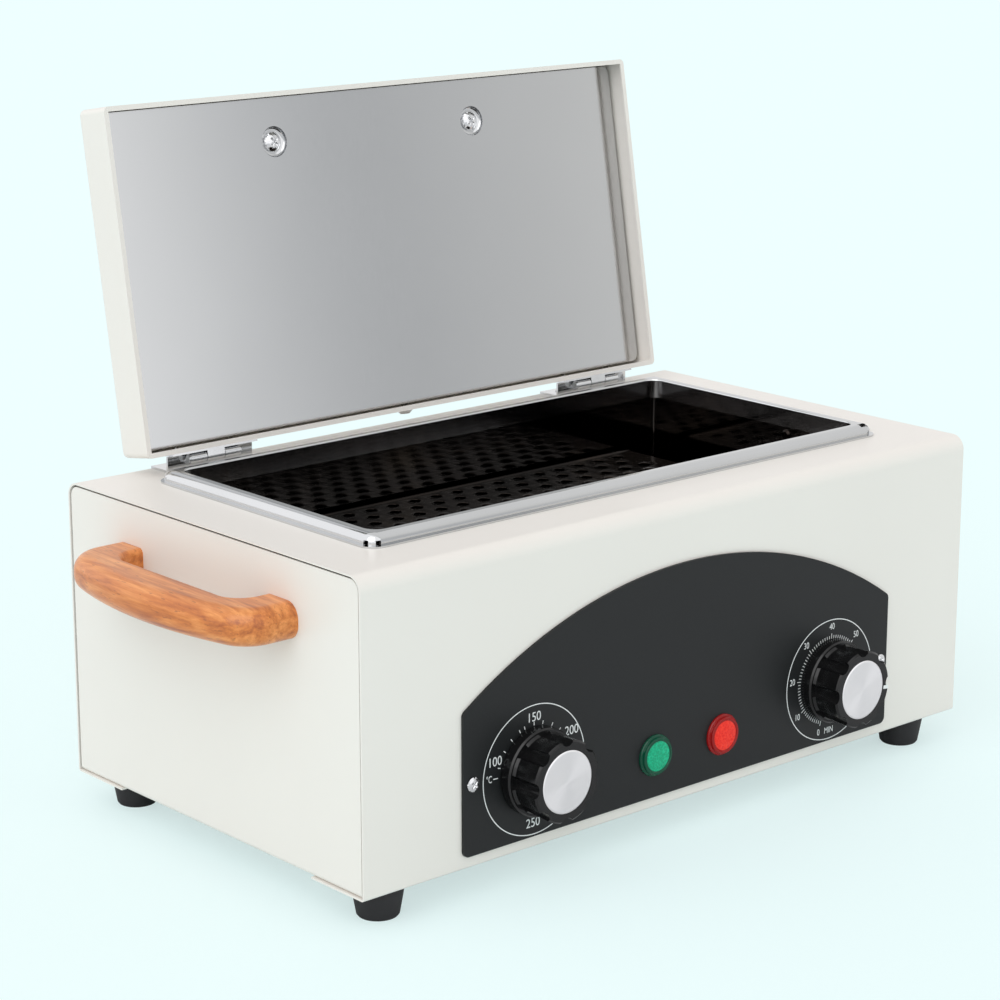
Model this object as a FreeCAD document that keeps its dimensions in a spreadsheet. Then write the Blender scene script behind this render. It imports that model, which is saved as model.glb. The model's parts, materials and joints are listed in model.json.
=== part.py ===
import FreeCAD, Part
import math
import os
import re

import Sketcher

# Benchtop dry-heat sterilizer: a painted sheet-steel housing with a drop-in stainless
# chamber, a hinged lid, two bow handles at the sides and one on the lid, and a front
# panel with a thermostat knob, a timer knob and two lamps.
#
# Every piece is drawn with the housing's front face at y = 0, its underside at z = 0 and
# its middle at x = 0. The lid's pieces are drawn shut and then swung open about the hinge.
# At the end everything is lifted onto its feet and centred in depth.

# Driving dimensions, in millimetres and degrees

SIZES = {
    # housing
    "body_width": 360,
    "body_depth": 204,
    "body_height": 134,
    "sheet": 0.8,
    "bend_radius": 6.5,
    "lower_bend": 1.4,
    "side_recess": 0.4,
    "side_seam": 0.9,
    "chassis_bend": 2.2,
    "flange_width": 34,
    # feet
    "foot_height": 15,
    "foot_radius": 11.2,
    "foot_tip_radius": 9.0,
    "foot_inset_x": 20,
    "foot_inset_y": 16,
    "foot_seat": 6,
    "foot_well_radius": 4.8,
    # fasteners
    "screw_radius": 2.0,
    "screw_head_radius": 3.9,
    "screw_head_height": 2.2,
    "tapper_radius": 1.3,
    "tapper_head_radius": 2.4,
    "tapper_head_height": 1.2,
    "tapper_length": 5,
    "hole_clearance": 0.1,
    "nut_flats": 7,
    "nut_height": 3.2,
    # chamber mouth and rim
    "mouth_side": 35.7,
    "mouth_front": 35.6,
    "mouth_rear": 34,
    "mouth_corner": 6,
    "bead_width": 6.4,
    "bead_height": 5.4,
    "bead_round": 4.0,
    "bead_corner": 5.4,
    "bead_inner_round": 0.8,
    "lip_width": 1.6,
    "rim_sheet": 0.8,
    "rim_skirt": 4,
    "channel_height": 4.6,
    "slot_start": 1.7,
    "slot_length": 3.4,
    "slot_height": 2.0,
    "socket_inset": 3.2,
    "socket_length": 4.6,
    "socket_width": 2.8,
    # chamber and tray
    "chamber_sheet": 0.7,
    "chamber_depth": 52,
    "chamber_fold": 1.5,
    "chamber_corner": 1.2,
    "chamber_fit": 0.1,
    "hanger_width": 1.6,
    "tray_end_gap": 21.2,
    "tray_height": 24,
    "tray_sheet": 0.8,
    "tray_fold": 1.8,
    "tray_gap": 1.6,
    "tray_hole_radius": 3.1,
    "tray_hole_pitch": 13,
    "tray_row_pitch": 9.6,
    "tray_end_margin": 13,
    "tray_side_margin": 9,
    # heating
    "heater_end_inset": 26,
    "heater_side_inset": 16.6,
    "heater_thickness": 3,
    "wool_end_inset": 11,
    "wool_side_inset": 6.6,
    "wool_thickness": 12,
    "strap_place": 70,
    "strap_width": 14,
    "strap_rise": 30,
    "bulb_radius": 2.5,
    "bulb_length": 50,
    "bulb_drop": 18,
    "capillary_radius": 0.8,
    "capillary_bend": 6,
    "capillary_depth": 14,
    "capillary_rise": 9,
    "clip_width": 8,
    "clip_first": 60,
    "clip_spacing": 20,
    "clip_rivet_drop": 8,
    "rivet_radius": 1.5,
    "rivet_head_radius": 2.6,
    "rivet_head_height": 1.0,
    # front panel
    "panel_side": 51.1,
    "panel_thickness": 1.2,
    "panel_foot": 5.5,
    "panel_drop": 26.4,
    "panel_arch": 40.2,
    "panel_corner": 3,
    "panel_screw_inset": 4.9,
    "panel_screw_z": 36.6,
    # controls
    "dial_inset": 38.8,
    "dial_z": 34.8,
    "knob_gap": 0.6,
    "knob_reach": 21.6,
    "knob_skirt_radius": 19.1,
    "knob_skirt_depth": 5.2,
    "knob_waist_radius": 17.0,
    "knob_front_radius": 17.8,
    "knob_well_radius": 8.6,
    "knob_well_depth": 4,
    "knob_bore_depth": 15,
    "flute_count": 8,
    "flute_radius": 3.7,
    "flute_circle": 19.2,
    "cap_radius": 13.5,
    "cap_thickness": 1.0,
    "shaft_radius": 3.0,
    "shaft_fit": 0.05,
    "shaft_depth": 12,
    "bush_radius": 4.8,
    "bush_nut_flats": 14,
    "bush_nut_height": 2,
    "thermostat_width": 34,
    "thermostat_depth": 24,
    "timer_radius": 22,
    "timer_depth": 26,
    # lamps
    "lamp_x": 20.5,
    "lamp_z": 24.7,
    "lamp_flange_radius": 9.4,
    "lamp_flange_height": 1.3,
    "lamp_lens_radius": 6.9,
    "lamp_lens_height": 2.6,
    "lamp_barrel_radius": 7.8,
    "lamp_barrel_depth": 6,
    "lamp_body_depth": 16,
    "lamp_nut_flats": 20,
    "lamp_nut_height": 3.4,
    # mains entry
    "gland_inset": 54,
    "gland_z": 28,
    "gland_bore": 3.7,
    "gland_radius": 6.2,
    "gland_flange_radius": 9.5,
    "gland_flange": 3,
    "gland_length": 12,
    "gland_nut_flats": 17,
    "gland_nut_height": 4,
    "terminal_length": 34,
    "terminal_width": 18,
    "terminal_height": 16,
    # wooden bow handles
    "handle_drop": 27.2,
    "handle_back": 2.5,
    "handle_spacing": 108,
    "lid_handle_spacing": 118,
    "handle_leg": 21,
    "handle_height": 16,
    "handle_gap": 15,
    "handle_reach": 35.5,
    "handle_crown": 10.5,
    "handle_corner": 18,
    "handle_inner_corner": 10,
    "handle_round": 7,
    "handle_inner_round": 2.6,
    "handle_screw_depth": 13,
    # lid
    "lid_height": 21.5,
    "lid_sheet": 0.9,
    "lid_hem": 2.2,
    "lid_hem_thickness": 1.0,
    "lid_corner": 2.4,
    "lid_edge_round": 3.4,
    "lid_gap": 0.4,
    "lid_gap_front": 0.5,
    "lid_gap_rear": 0.9,
    "lid_gap_side": 1.2,
    "lid_tilt": 9.57,
    "liner_depth": 9.4,
    "liner_sheet": 0.5,
    "liner_gap": 1.5,
    "liner_corner": 4,
    "dish_radius": 7.0,
    "dish_depth": 2.2,
    "lid_screw_y": 22.3,
    "lid_screw_head_radius": 4.4,
    "lid_screw_head_height": 2.4,
    "lid_wool_gap": 0.6,
    "rear_screw_rise": 11.8,
    # hinges
    "hinge_end": 37.5,
    "hinge_length": 46,
    "hinge_leaf": 1.1,
    "hinge_leaf_height": 17,
    "hinge_rise": 4.35,
    "knuckle_radius": 2.3,
    "knuckle_length": 27,
    "knuckle_middle": 9.3,
    "knuckle_play": 0.3,
    "pin_radius": 1.0,
    "pin_fit": 0.05,
    "pin_head_radius": 1.6,
    "pin_head_height": 0.7,
    "base_leaf_depth": 12,
    "hinge_screw_x": 15,
    "base_screw_x": 70,
}

# Sizes that follow from the driving ones, in the same words

WORKED_OUT = {
    "body_back": "body_depth",
    "inner_top": "body_height - sheet",
    "side_face": "body_width / 2 - side_recess",
    "side_top": "body_height - sheet - side_seam",
    "floor_top": "2 * sheet",
    "foot_x": "body_width / 2 - foot_inset_x",
    "foot_back": "body_depth - foot_inset_y",
    "screw_hole": "screw_radius + hole_clearance",
    "tapper_hole": "tapper_radius + hole_clearance",
    "mouth_half": "body_width / 2 - mouth_side",
    "mouth_back": "body_depth - mouth_rear",
    "mouth_middle": "(mouth_front + mouth_back) / 2",
    "bead_half": "mouth_half + bead_width",
    "bead_front": "mouth_front - bead_width",
    "bead_back": "mouth_back + bead_width",
    "pan_step": "rim_sheet + chamber_fit",
    "pan_inner_half": "mouth_half + pan_step",
    "pan_outer_half": "pan_inner_half + chamber_sheet",
    "pan_floor": "body_height - chamber_depth",
    "pan_underside": "pan_floor - chamber_sheet",
    "pan_inner_front": "mouth_front - pan_step",
    "pan_inner_back": "mouth_back + pan_step",
    "pan_outer_front": "pan_inner_front - chamber_sheet",
    "pan_outer_back": "pan_inner_back + chamber_sheet",
    "tray_front": "pan_inner_front + tray_gap",
    "tray_back": "pan_inner_back - tray_gap",
    "tray_top": "pan_floor + tray_height",
    "tray_half": "pan_inner_half - tray_end_gap",
    "heater_underside": "pan_underside - heater_thickness",
    "wool_underside": "heater_underside - wool_thickness",
    "bulb_z": "body_height - bulb_drop",
    "bulb_x": "pan_outer_half + bulb_radius + 2 * hole_clearance",
    "rivet_z": "body_height - clip_rivet_drop",
    "panel_half": "body_width / 2 - panel_side",
    "panel_crown": "body_height - panel_drop",
    "panel_shoulder": "panel_crown - panel_arch",
    "panel_screw_x": "panel_half - panel_screw_inset",
    "dial_x": "panel_half - dial_inset",
    "knob_back": "panel_thickness + knob_gap",
    "cap_seat": "knob_reach - cap_thickness",
    "control_hole": "bush_radius + hole_clearance",
    "lamp_hole": "lamp_barrel_radius + hole_clearance",
    "gland_x": "body_width / 2 - gland_inset",
    "handle_middle": "body_depth / 2 + handle_back",
    "handle_z": "body_height - handle_drop",
    "lid_bottom": "body_height + rim_sheet + lid_gap",
    "lid_top": "lid_bottom + lid_height",
    "lid_front": "bead_front - lid_hem - lid_gap_front",
    "lid_rear": "bead_back + lid_hem + lid_gap_rear",
    "lid_half": "bead_half + lid_hem + lid_gap_side",
    "hinge_x": "lid_half - hinge_end",
    "liner_z": "lid_bottom + liner_depth",
    "liner_top": "liner_z + liner_sheet",
    "lid_screw_line": "lid_front + lid_screw_y",
    "lid_screw_x": "lid_handle_spacing / 2",
    "leaf_back": "lid_rear + hinge_leaf",
    "hinge_y": "leaf_back + knuckle_radius + knuckle_play",
    "hinge_z": "lid_bottom + hinge_rise",
    "web_front": "hinge_y + knuckle_radius + knuckle_play",
    "web_back": "web_front + hinge_leaf",
    "web_lean": "(web_back - hinge_y) * sin(lid_tilt)",
    "web_top": "hinge_z + (knuckle_radius + knuckle_play - web_lean) / cos(lid_tilt) - knuckle_play",
    "base_screw_y": "web_back + base_leaf_depth / 2",
    "lid_leaf_screw_z": "hinge_z + 0.44 * hinge_leaf_height",
    "open_angle": "90 + lid_tilt",
    "bow_top": "lid_top + handle_reach - handle_round",
    "bow_edge": "lid_screw_line - handle_height / 2 + handle_round",
    "back_reach": "hinge_y + (hinge_y - bow_edge) * sin(lid_tilt)"
                  " + (bow_top - hinge_z) * cos(lid_tilt) + handle_round",
    "stand_y": "(knob_reach - back_reach) / 2",
}

WORD = re.compile(r"[a-z][a-z_]*")

doc = FreeCAD.newDocument("sterilizer")
dims = doc.addObject("Spreadsheet::Sheet", "Dims")
for row, (name, size) in enumerate(SIZES.items(), start=1):
    dims.set("A%d" % row, name)
    dims.set("B%d" % row, str(size))
    dims.setAlias("B%d" % row, name)
doc.recompute()


def expr(text):
    """The words of a size written as an expression on the sheet's cells."""

    def swap(match):
        word = match.group()
        if word in SIZES:
            return "Dims." + word
        if word in WORKED_OUT:
            return "(" + expr(WORKED_OUT[word]) + ")"
        return word

    return WORD.sub(swap, text)


def val(text):
    """The present value of a size written in the same words."""
    return float(dims.evalExpression(expr(text)))


# Sketching helpers

def add_body(label):
    body = doc.addObject("PartDesign::Body", label)
    body.Label = label
    body.AllowCompound = True
    return body


def origin_part(body, role):
    return next(part for part in body.Origin.OriginFeatures if part.Role == role)


def add_sketch(body, name, role, at=("0", "0", "0")):
    """A sketch on one of the body's planes, its own origin moved to the point at."""
    sketch = body.newObject("Sketcher::SketchObject", name)
    sketch.AttachmentSupport = [(origin_part(body, role), "")]
    sketch.MapMode = "FlatFace"
    x, y, z = at
    offset = {
        "XY_Plane": (x, y, z),
        "XZ_Plane": (x, z, "-(%s)" % y),
        "YZ_Plane": (y, z, x),
    }[role]
    for axis, text in zip("xyz", offset):
        sketch.setExpression("AttachmentOffset.Base." + axis, expr(text))
    return sketch


def pin_point(sketch, geometry, point, x, y):
    for kind, text in (("DistanceX", x), ("DistanceY", y)):
        rule = Sketcher.Constraint(kind, -1, 1, geometry, point, val(text))
        number = sketch.addConstraint(rule)
        sketch.setExpression("Constraints[%d]" % number, expr(text))


def add_polygon(sketch, points):
    """A closed outline of straight lines through the points."""
    corners = [FreeCAD.Vector(val(x), val(y), 0) for x, y in points]
    first = sketch.GeometryCount
    for start, end in zip(corners, corners[1:] + corners[:1]):
        sketch.addGeometry(Part.LineSegment(start, end))
    count = len(points)
    for step in range(count):
        here = first + step
        after = first + (step + 1) % count
        sketch.addConstraint(Sketcher.Constraint("Coincident", here, 2, after, 1))
    for step, (x, y) in enumerate(points):
        pin_point(sketch, first + step, 1, x, y)


def add_rectangle(sketch, x_low, x_high, y_low, y_high):
    add_polygon(sketch, [(x_low, y_low), (x_high, y_low), (x_high, y_high), (x_low, y_high)])


def add_wide_rectangle(sketch, half, y_low, y_high):
    add_rectangle(sketch, "-(%s)" % half, half, y_low, y_high)


def add_circle(sketch, x, y, radius):
    centre = FreeCAD.Vector(val(x), val(y), 0)
    number = sketch.addGeometry(Part.Circle(centre, FreeCAD.Vector(0, 0, 1), val(radius)))
    pin_point(sketch, number, 3, x, y)
    rule = sketch.addConstraint(Sketcher.Constraint("Radius", number, val(radius)))
    sketch.setExpression("Constraints[%d]" % rule, expr(radius))


def add_hexagon(sketch, flats):
    """A hexagon round the sketch's origin, measured across its flats."""
    reach = "(%s) / sqrt(3)" % flats
    add_polygon(sketch, [
        (reach, "0"),
        ("(%s) / 2" % reach, "(%s) / 2" % flats),
        ("-(%s) / 2" % reach, "(%s) / 2" % flats),
        ("-(%s)" % reach, "0"),
        ("-(%s) / 2" % reach, "-(%s) / 2" % flats),
        ("(%s) / 2" % reach, "-(%s) / 2" % flats),
    ])


# Feature helpers

def settle(body, feature):
    """Makes a feature the body's tip, works it out and checks that it did not fail."""
    body.Tip = feature
    doc.recompute()
    if "Invalid" in feature.State or "Error" in feature.State or not body.Shape.isValid():
        raise RuntimeError("%s in %s failed" % (feature.Label, body.Label))
    return feature


def add_feature(body, kind, name, sketch):
    feature = body.newObject("PartDesign::" + kind, name)
    feature.Profile = sketch
    sketch.Visibility = False
    return feature


def pad(body, name, sketch, length, reverse=False, both_ways=False):
    feature = add_feature(body, "Pad", name, sketch)
    feature.setExpression("Length", expr(length))
    feature.Reversed = reverse
    feature.Midplane = both_ways
    return settle(body, feature)


def pocket(body, name, sketch, length, reverse=False, both_ways=False):
    """A cut of the sketch to a depth, checked to have taken material away."""
    before = body.Shape.Volume
    feature = add_feature(body, "Pocket", name, sketch)
    feature.setExpression("Length", expr(length))
    feature.Reversed = reverse
    feature.Midplane = both_ways
    settle(body, feature)
    if body.Shape.Volume >= before:
        raise RuntimeError("%s in %s cut nothing" % (name, body.Label))
    return feature


def revolve(body, name, sketch, axis="V_Axis"):
    feature = add_feature(body, "Revolution", name, sketch)
    feature.ReferenceAxis = (sketch, [axis])
    feature.Angle = 360
    return settle(body, feature)


def straight_along(axis, **places):
    """A test for straight edges along an axis whose middle lies at the given places."""

    def test(edge):
        if edge.Curve.TypeId != "Part::GeomLine":
            return False
        if abs(abs(edge.tangentAt(edge.FirstParameter).dot(axis)) - 1) > 1e-6:
            return False
        middle = edge.CenterOfMass
        for name, text in places.items():
            spots = text if isinstance(text, tuple) else (text,)
            here = getattr(middle, name)
            if all(abs(here - val(spot)) > 1e-3 for spot in spots):
                return False
        return True

    return test


def round_edges(body, name, radius, test):
    """A fillet on every edge of the body's tip that passes the test."""
    base = body.Tip
    edges = ["Edge%d" % (n + 1) for n, edge in enumerate(base.Shape.Edges) if test(edge)]
    if not edges:
        raise RuntimeError("%s in %s found no edge" % (name, body.Label))
    feature = body.newObject("PartDesign::Fillet", name)
    feature.Base = (base, edges)
    feature.setExpression("Radius", expr(radius))
    return settle(body, feature)


ALONG_X = FreeCAD.Vector(1, 0, 0)
ALONG_Y = FreeCAD.Vector(0, 1, 0)
ALONG_Z = FreeCAD.Vector(0, 0, 1)


def mirror_left(body, feature, name="left_copy"):
    """Adds a mirror image of a feature on the other side of the middle plane."""
    mirrored = body.newObject("PartDesign::Mirrored", name)
    mirrored.Originals = [feature]
    mirrored.MirrorPlane = (origin_part(body, "YZ_Plane"), [""])
    return settle(body, mirrored)


def repeat(body, features, *steps):
    """Repeats features: each step is mirror, or an axis role with a length and a count."""
    before = body.Shape.Volume
    group = body.newObject("PartDesign::MultiTransform", "repeated")
    group.Originals = features
    moves = []
    for step in steps:
        if step == "mirror":
            move = body.newObject("PartDesign::Mirrored", "mirrored")
            move.MirrorPlane = (origin_part(body, "YZ_Plane"), [""])
        else:
            role, length, count = step
            move = body.newObject("PartDesign::LinearPattern", "row")
            move.Direction = (origin_part(body, role), [""])
            move.setExpression("Length", expr(length))
            move.setExpression("Occurrences", expr(count))
        moves.append(move)
    group.Transformations = moves
    settle(body, group)
    if body.Shape.Volume == before:
        raise RuntimeError("the pattern in %s changed nothing" % body.Label)
    return group


def turned(label, role, at, points, axis="V_Axis"):
    """A round piece: an outline of radius and height turned about an axis through at."""
    body = add_body(label)
    sketch = add_sketch(body, "outline", role, at)
    if axis == "V_Axis":
        add_polygon(sketch, points)
    else:
        add_polygon(sketch, [(height, radius) for radius, height in points])
    revolve(body, "turning", sketch, axis)
    return body


def screw_outline(head_radius, head_height, radius, length, way=1):
    """A domed head above a plain shank, its seat at height 0; way -1 turns it over."""

    def up(text):
        return text if way > 0 else "-(%s)" % text

    return [
        ("0", up(head_height)),
        ("0.62 * (%s)" % head_radius, up("0.9 * (%s)" % head_height)),
        (head_radius, up("0.4 * (%s)" % head_height)),
        (head_radius, "0"),
        (radius, "0"),
        (radius, up("-(%s)" % length)),
        ("0", up("-(%s)" % length)),
    ]


def hex_nut(label, role, at, flats, bore, height, reverse=False):
    body = add_body(label)
    sketch = add_sketch(body, "outline", role, at)
    add_hexagon(sketch, flats)
    add_circle(sketch, "0", "0", bore)
    pad(body, "block", sketch, height, reverse)
    return body


# Housing

def make_housing_wrap():
    """Front, top and back folded from one sheet, with a flange in under the floor."""
    body = add_body("housing_wrap")
    fold = add_sketch(body, "fold", "YZ_Plane")
    add_polygon(fold, [
        ("0", "0"),
        ("0", "body_height"),
        ("body_back", "body_height"),
        ("body_back", "0"),
        ("body_back - flange_width", "0"),
        ("body_back - flange_width", "sheet"),
        ("body_back - sheet", "sheet"),
        ("body_back - sheet", "inner_top"),
        ("sheet", "inner_top"),
        ("sheet", "sheet"),
        ("flange_width", "sheet"),
        ("flange_width", "0"),
    ])
    pad(body, "sheet_metal", fold, "body_width", both_ways=True)
    round_edges(body, "inner_bends", "bend_radius - sheet",
                straight_along(ALONG_X, y=("sheet", "body_back - sheet"), z="inner_top"))
    round_edges(body, "outer_bends", "bend_radius",
                straight_along(ALONG_X, y=("0", "body_back"), z="body_height"))
    round_edges(body, "lower_bends", "lower_bend",
                straight_along(ALONG_X, y=("0", "body_back"), z="0"))

    top = add_sketch(body, "top_cuts", "XY_Plane", ("0", "0", "body_height"))
    add_wide_rectangle(top, "pan_outer_half + hole_clearance",
                       "pan_outer_front - hole_clearance", "pan_outer_back + hole_clearance")
    for side in ("hinge_x", "-hinge_x"):
        for end in (" + hinge_screw_x", " - hinge_screw_x"):
            add_circle(top, side + end, "base_screw_y", "tapper_hole")
    pocket(body, "top_openings", top, "2 * sheet")
    round_edges(body, "opening_corners", "chamber_corner + chamber_sheet",
                straight_along(ALONG_Z,
                               x=("pan_outer_half + hole_clearance",
                                  "-(pan_outer_half + hole_clearance)"),
                               z="body_height - sheet / 2"))

    front = add_sketch(body, "front_cuts", "XZ_Plane")
    for side in ("", "-"):
        add_circle(front, side + "dial_x", "dial_z", "control_hole")
        add_circle(front, side + "lamp_x", "lamp_z", "lamp_hole")
        add_circle(front, side + "panel_screw_x", "panel_screw_z", "tapper_hole")
    pocket(body, "front_openings", front, "2 * sheet")

    back = add_sketch(body, "back_cut", "XZ_Plane", ("0", "body_back", "0"))
    add_circle(back, "gland_x", "gland_z", "gland_radius + hole_clearance")
    pocket(body, "gland_opening", back, "2 * sheet", reverse=True)

    under = add_sketch(body, "flange_cuts", "XY_Plane")
    add_floor_holes(under)
    pocket(body, "flange_holes", under, "sheet", reverse=True)
    return body


def add_floor_holes(sketch):
    for y in ("foot_inset_y", "foot_back"):
        for side in ("", "-"):
            add_circle(sketch, side + "(foot_x)", y, "screw_hole")
            add_circle(sketch, side + "base_screw_x", y, "tapper_hole")


def make_chassis():
    """Floor and both sides folded from one sheet; the sides sit just inside the wrap."""
    body = add_body("chassis")
    fold = add_sketch(body, "fold", "XZ_Plane", ("0", "sheet + side_seam", "0"))
    add_polygon(fold, [
        ("-(side_face)", "sheet"),
        ("-(side_face)", "side_top"),
        ("-(side_face) + sheet", "side_top"),
        ("-(side_face) + sheet", "floor_top"),
        ("side_face - sheet", "floor_top"),
        ("side_face - sheet", "side_top"),
        ("side_face", "side_top"),
        ("side_face", "sheet"),
    ])
    pad(body, "sheet_metal", fold, "body_depth - 2 * (sheet + side_seam)", reverse=True)
    round_edges(body, "inner_bends", "chassis_bend - sheet",
                straight_along(ALONG_Y, x=("side_face - sheet", "sheet - side_face"),
                               z="floor_top"))
    round_edges(body, "outer_bends", "chassis_bend",
                straight_along(ALONG_Y, x=("side_face", "-(side_face)"), z="sheet"))
    round_edges(body, "top_corners", "bend_radius - sheet - side_seam",
                straight_along(ALONG_X, z="side_top"))

    under = add_sketch(body, "floor_cuts", "XY_Plane", ("0", "0", "sheet"))
    add_floor_holes(under)
    pocket(body, "floor_holes", under, "sheet", reverse=True)

    side = add_sketch(body, "side_cuts", "YZ_Plane")
    for way in (" + ", " - "):
        add_circle(side, "handle_middle%shandle_spacing / 2" % way, "handle_z", "screw_hole")
    pocket(body, "handle_holes", side, "2 * body_width", both_ways=True)
    return body


def make_feet():
    """Four tapered rubber feet, each with a well for its screw's head."""
    outline = [
        ("screw_hole", "0"),
        ("foot_radius", "0"),
        ("foot_radius", "-0.1 * foot_height"),
        ("foot_tip_radius", "-0.94 * foot_height"),
        ("0.92 * foot_tip_radius", "-foot_height"),
        ("foot_well_radius", "-foot_height"),
        ("foot_well_radius", "-foot_seat"),
        ("screw_hole", "-foot_seat"),
    ]
    made = []
    for end, y in (("front", "foot_inset_y"), ("back", "foot_back")):
        for side, x in (("left", "-(foot_x)"), ("right", "foot_x")):
            label = "foot_%s_%s" % (end, side)
            made.append(turned(label, "XZ_Plane", (x, y, "0"), outline))
    return made


def make_floor_fasteners():
    """Foot screws and their nuts, and the tapping screws that close the floor."""
    rows = ("mirror", ("Y_Axis", "foot_back - foot_inset_y", "2"))
    reach = "foot_seat + floor_top + nut_height + 1"
    screws = turned("foot_screws", "XZ_Plane", ("foot_x", "foot_inset_y", "-foot_seat"),
                    screw_outline("screw_head_radius", "screw_head_height",
                                  "screw_radius", reach, way=-1))
    repeat(screws, [screws.Tip], *rows)

    nuts = hex_nut("foot_nuts", "XY_Plane", ("foot_x", "foot_inset_y", "floor_top"),
                   "nut_flats", "screw_hole", "nut_height")
    repeat(nuts, [nuts.Tip], *rows)

    tappers = turned("floor_screws", "XZ_Plane", ("base_screw_x", "foot_inset_y", "0"),
                     screw_outline("tapper_head_radius", "tapper_head_height",
                                   "tapper_radius", "tapper_length", way=-1))
    repeat(tappers, [tappers.Tip], *rows)
    return [screws, nuts, tappers]


# Chamber

def mouth_band(sketch, out):
    """The chamber mouth's rectangle, moved outwards by a distance."""
    add_wide_rectangle(sketch, "mouth_half + %s" % out,
                       "mouth_front - (%s)" % out, "mouth_back + %s" % out)


def upright_corners(out):
    """A test for the upright corner edges of a rectangle round the chamber mouth."""
    half = "mouth_half + %s" % out
    return straight_along(ALONG_Z, x=(half, "-(%s)" % half),
                          y=("mouth_front - (%s)" % out, "mouth_back + %s" % out))


def make_rim():
    """Pressed stainless frame: a narrow lip, a hollow bead with open corners, a skirt."""
    body = add_body("rim")
    lip = add_sketch(body, "lip_outline", "XY_Plane", ("0", "0", "body_height"))
    mouth_band(lip, "bead_width + lip_width")
    pad(body, "lip", lip, "rim_sheet")

    bead = add_sketch(body, "bead_outline", "XY_Plane", ("0", "0", "body_height"))
    mouth_band(bead, "bead_width")
    pad(body, "bead", bead, "bead_height")
    crest = "body_height + bead_height"

    skirt = add_sketch(body, "skirt_outline", "XY_Plane", ("0", "0", "body_height - rim_skirt"))
    mouth_band(skirt, "rim_sheet")
    pad(body, "skirt", skirt, "rim_skirt + rim_sheet")

    channel = add_sketch(body, "channel_outline", "XY_Plane", ("0", "0", "body_height"))
    mouth_band(channel, "bead_width - rim_sheet")
    mouth_band(channel, "rim_sheet")
    pocket(body, "channel", channel, "channel_height", reverse=True)
    round_edges(body, "channel_corners", "bead_corner - rim_sheet",
                upright_corners("bead_width - rim_sheet"))
    ceiling = "body_height + channel_height"
    inner_wall = "mouth_half + 2 * rim_sheet"
    round_edges(body, "channel_top", "bead_round - rim_sheet",
                lambda edge: abs(edge.CenterOfMass.z - val(ceiling)) < 1e-3
                and edge.BoundBox.ZLength < 1e-6
                and (edge.BoundBox.XMax > val(inner_wall) or edge.BoundBox.XMin < -val(inner_wall)
                     or edge.BoundBox.YMax > val("mouth_back + 2 * rim_sheet")
                     or edge.BoundBox.YMin < val("mouth_front - 2 * rim_sheet")))

    round_edges(body, "bead_corners", "bead_corner", upright_corners("bead_width"))
    round_edges(body, "lip_corners", "bead_corner + lip_width",
                upright_corners("bead_width + lip_width"))
    round_edges(body, "bead_top", "bead_round",
                lambda edge: abs(edge.CenterOfMass.z - val(crest)) < 1e-3)

    mouth = add_sketch(body, "mouth_outline", "XY_Plane", ("0", "0", crest))
    mouth_band(mouth, "0")
    pocket(body, "mouth", mouth, "bead_height + rim_skirt")
    round_edges(body, "mouth_corners", "mouth_corner", upright_corners("0"))
    round_edges(body, "skirt_corners", "mouth_corner + rim_sheet",
                upright_corners("rim_sheet"))
    round_edges(body, "mouth_edge", "bead_inner_round",
                lambda edge: abs(edge.CenterOfMass.z - val(crest)) < 1e-3
                and edge.BoundBox.XMax <= val("mouth_half") + 1e-3
                and edge.BoundBox.ZLength < 1e-6
                and edge.BoundBox.YMin >= val("mouth_front") - 1e-3
                and edge.BoundBox.YMax <= val("mouth_back") + 1e-3
                and edge.BoundBox.XMin >= -val("mouth_half") - 1e-3)

    slots = add_sketch(body, "slot_outlines", "XY_Plane",
                       ("0", "0", "body_height + rim_sheet"))
    near, far = "slot_start", "(slot_start + slot_length)"
    for x, x_way in (("bead_half", 1), ("-(bead_half)", -1)):
        for y, y_way in (("bead_front", 1), ("bead_back", -1)):
            x_out, x_in = "%s + %d" % (x, x_way), "%s - (%d) * bead_round" % (x, x_way)
            y_out, y_in = "%s - (%d)" % (y, y_way), "%s + (%d) * bead_round" % (y, y_way)
            x_near, x_far = ("%s - (%d) * %s" % (x, x_way, way) for way in (near, far))
            y_near, y_far = ("%s + (%d) * %s" % (y, y_way, way) for way in (near, far))
            add_polygon(slots, [(x_far, y_out), (x_near, y_out), (x_far, y_in)])
            add_polygon(slots, [(x_out, y_far), (x_out, y_near), (x_in, y_far)])
    pocket(body, "corner_slots", slots, "slot_height", reverse=True)

    socket = add_sketch(body, "socket_outline", "XY_Plane", ("0", "0", crest))
    add_rectangle(socket, "bead_half - socket_inset - socket_length", "bead_half - socket_inset",
                  "bead_front + socket_inset / 2", "bead_front + socket_inset / 2 + socket_width")
    pocket(body, "corner_socket", socket, "2 * rim_sheet")
    return body


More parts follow.
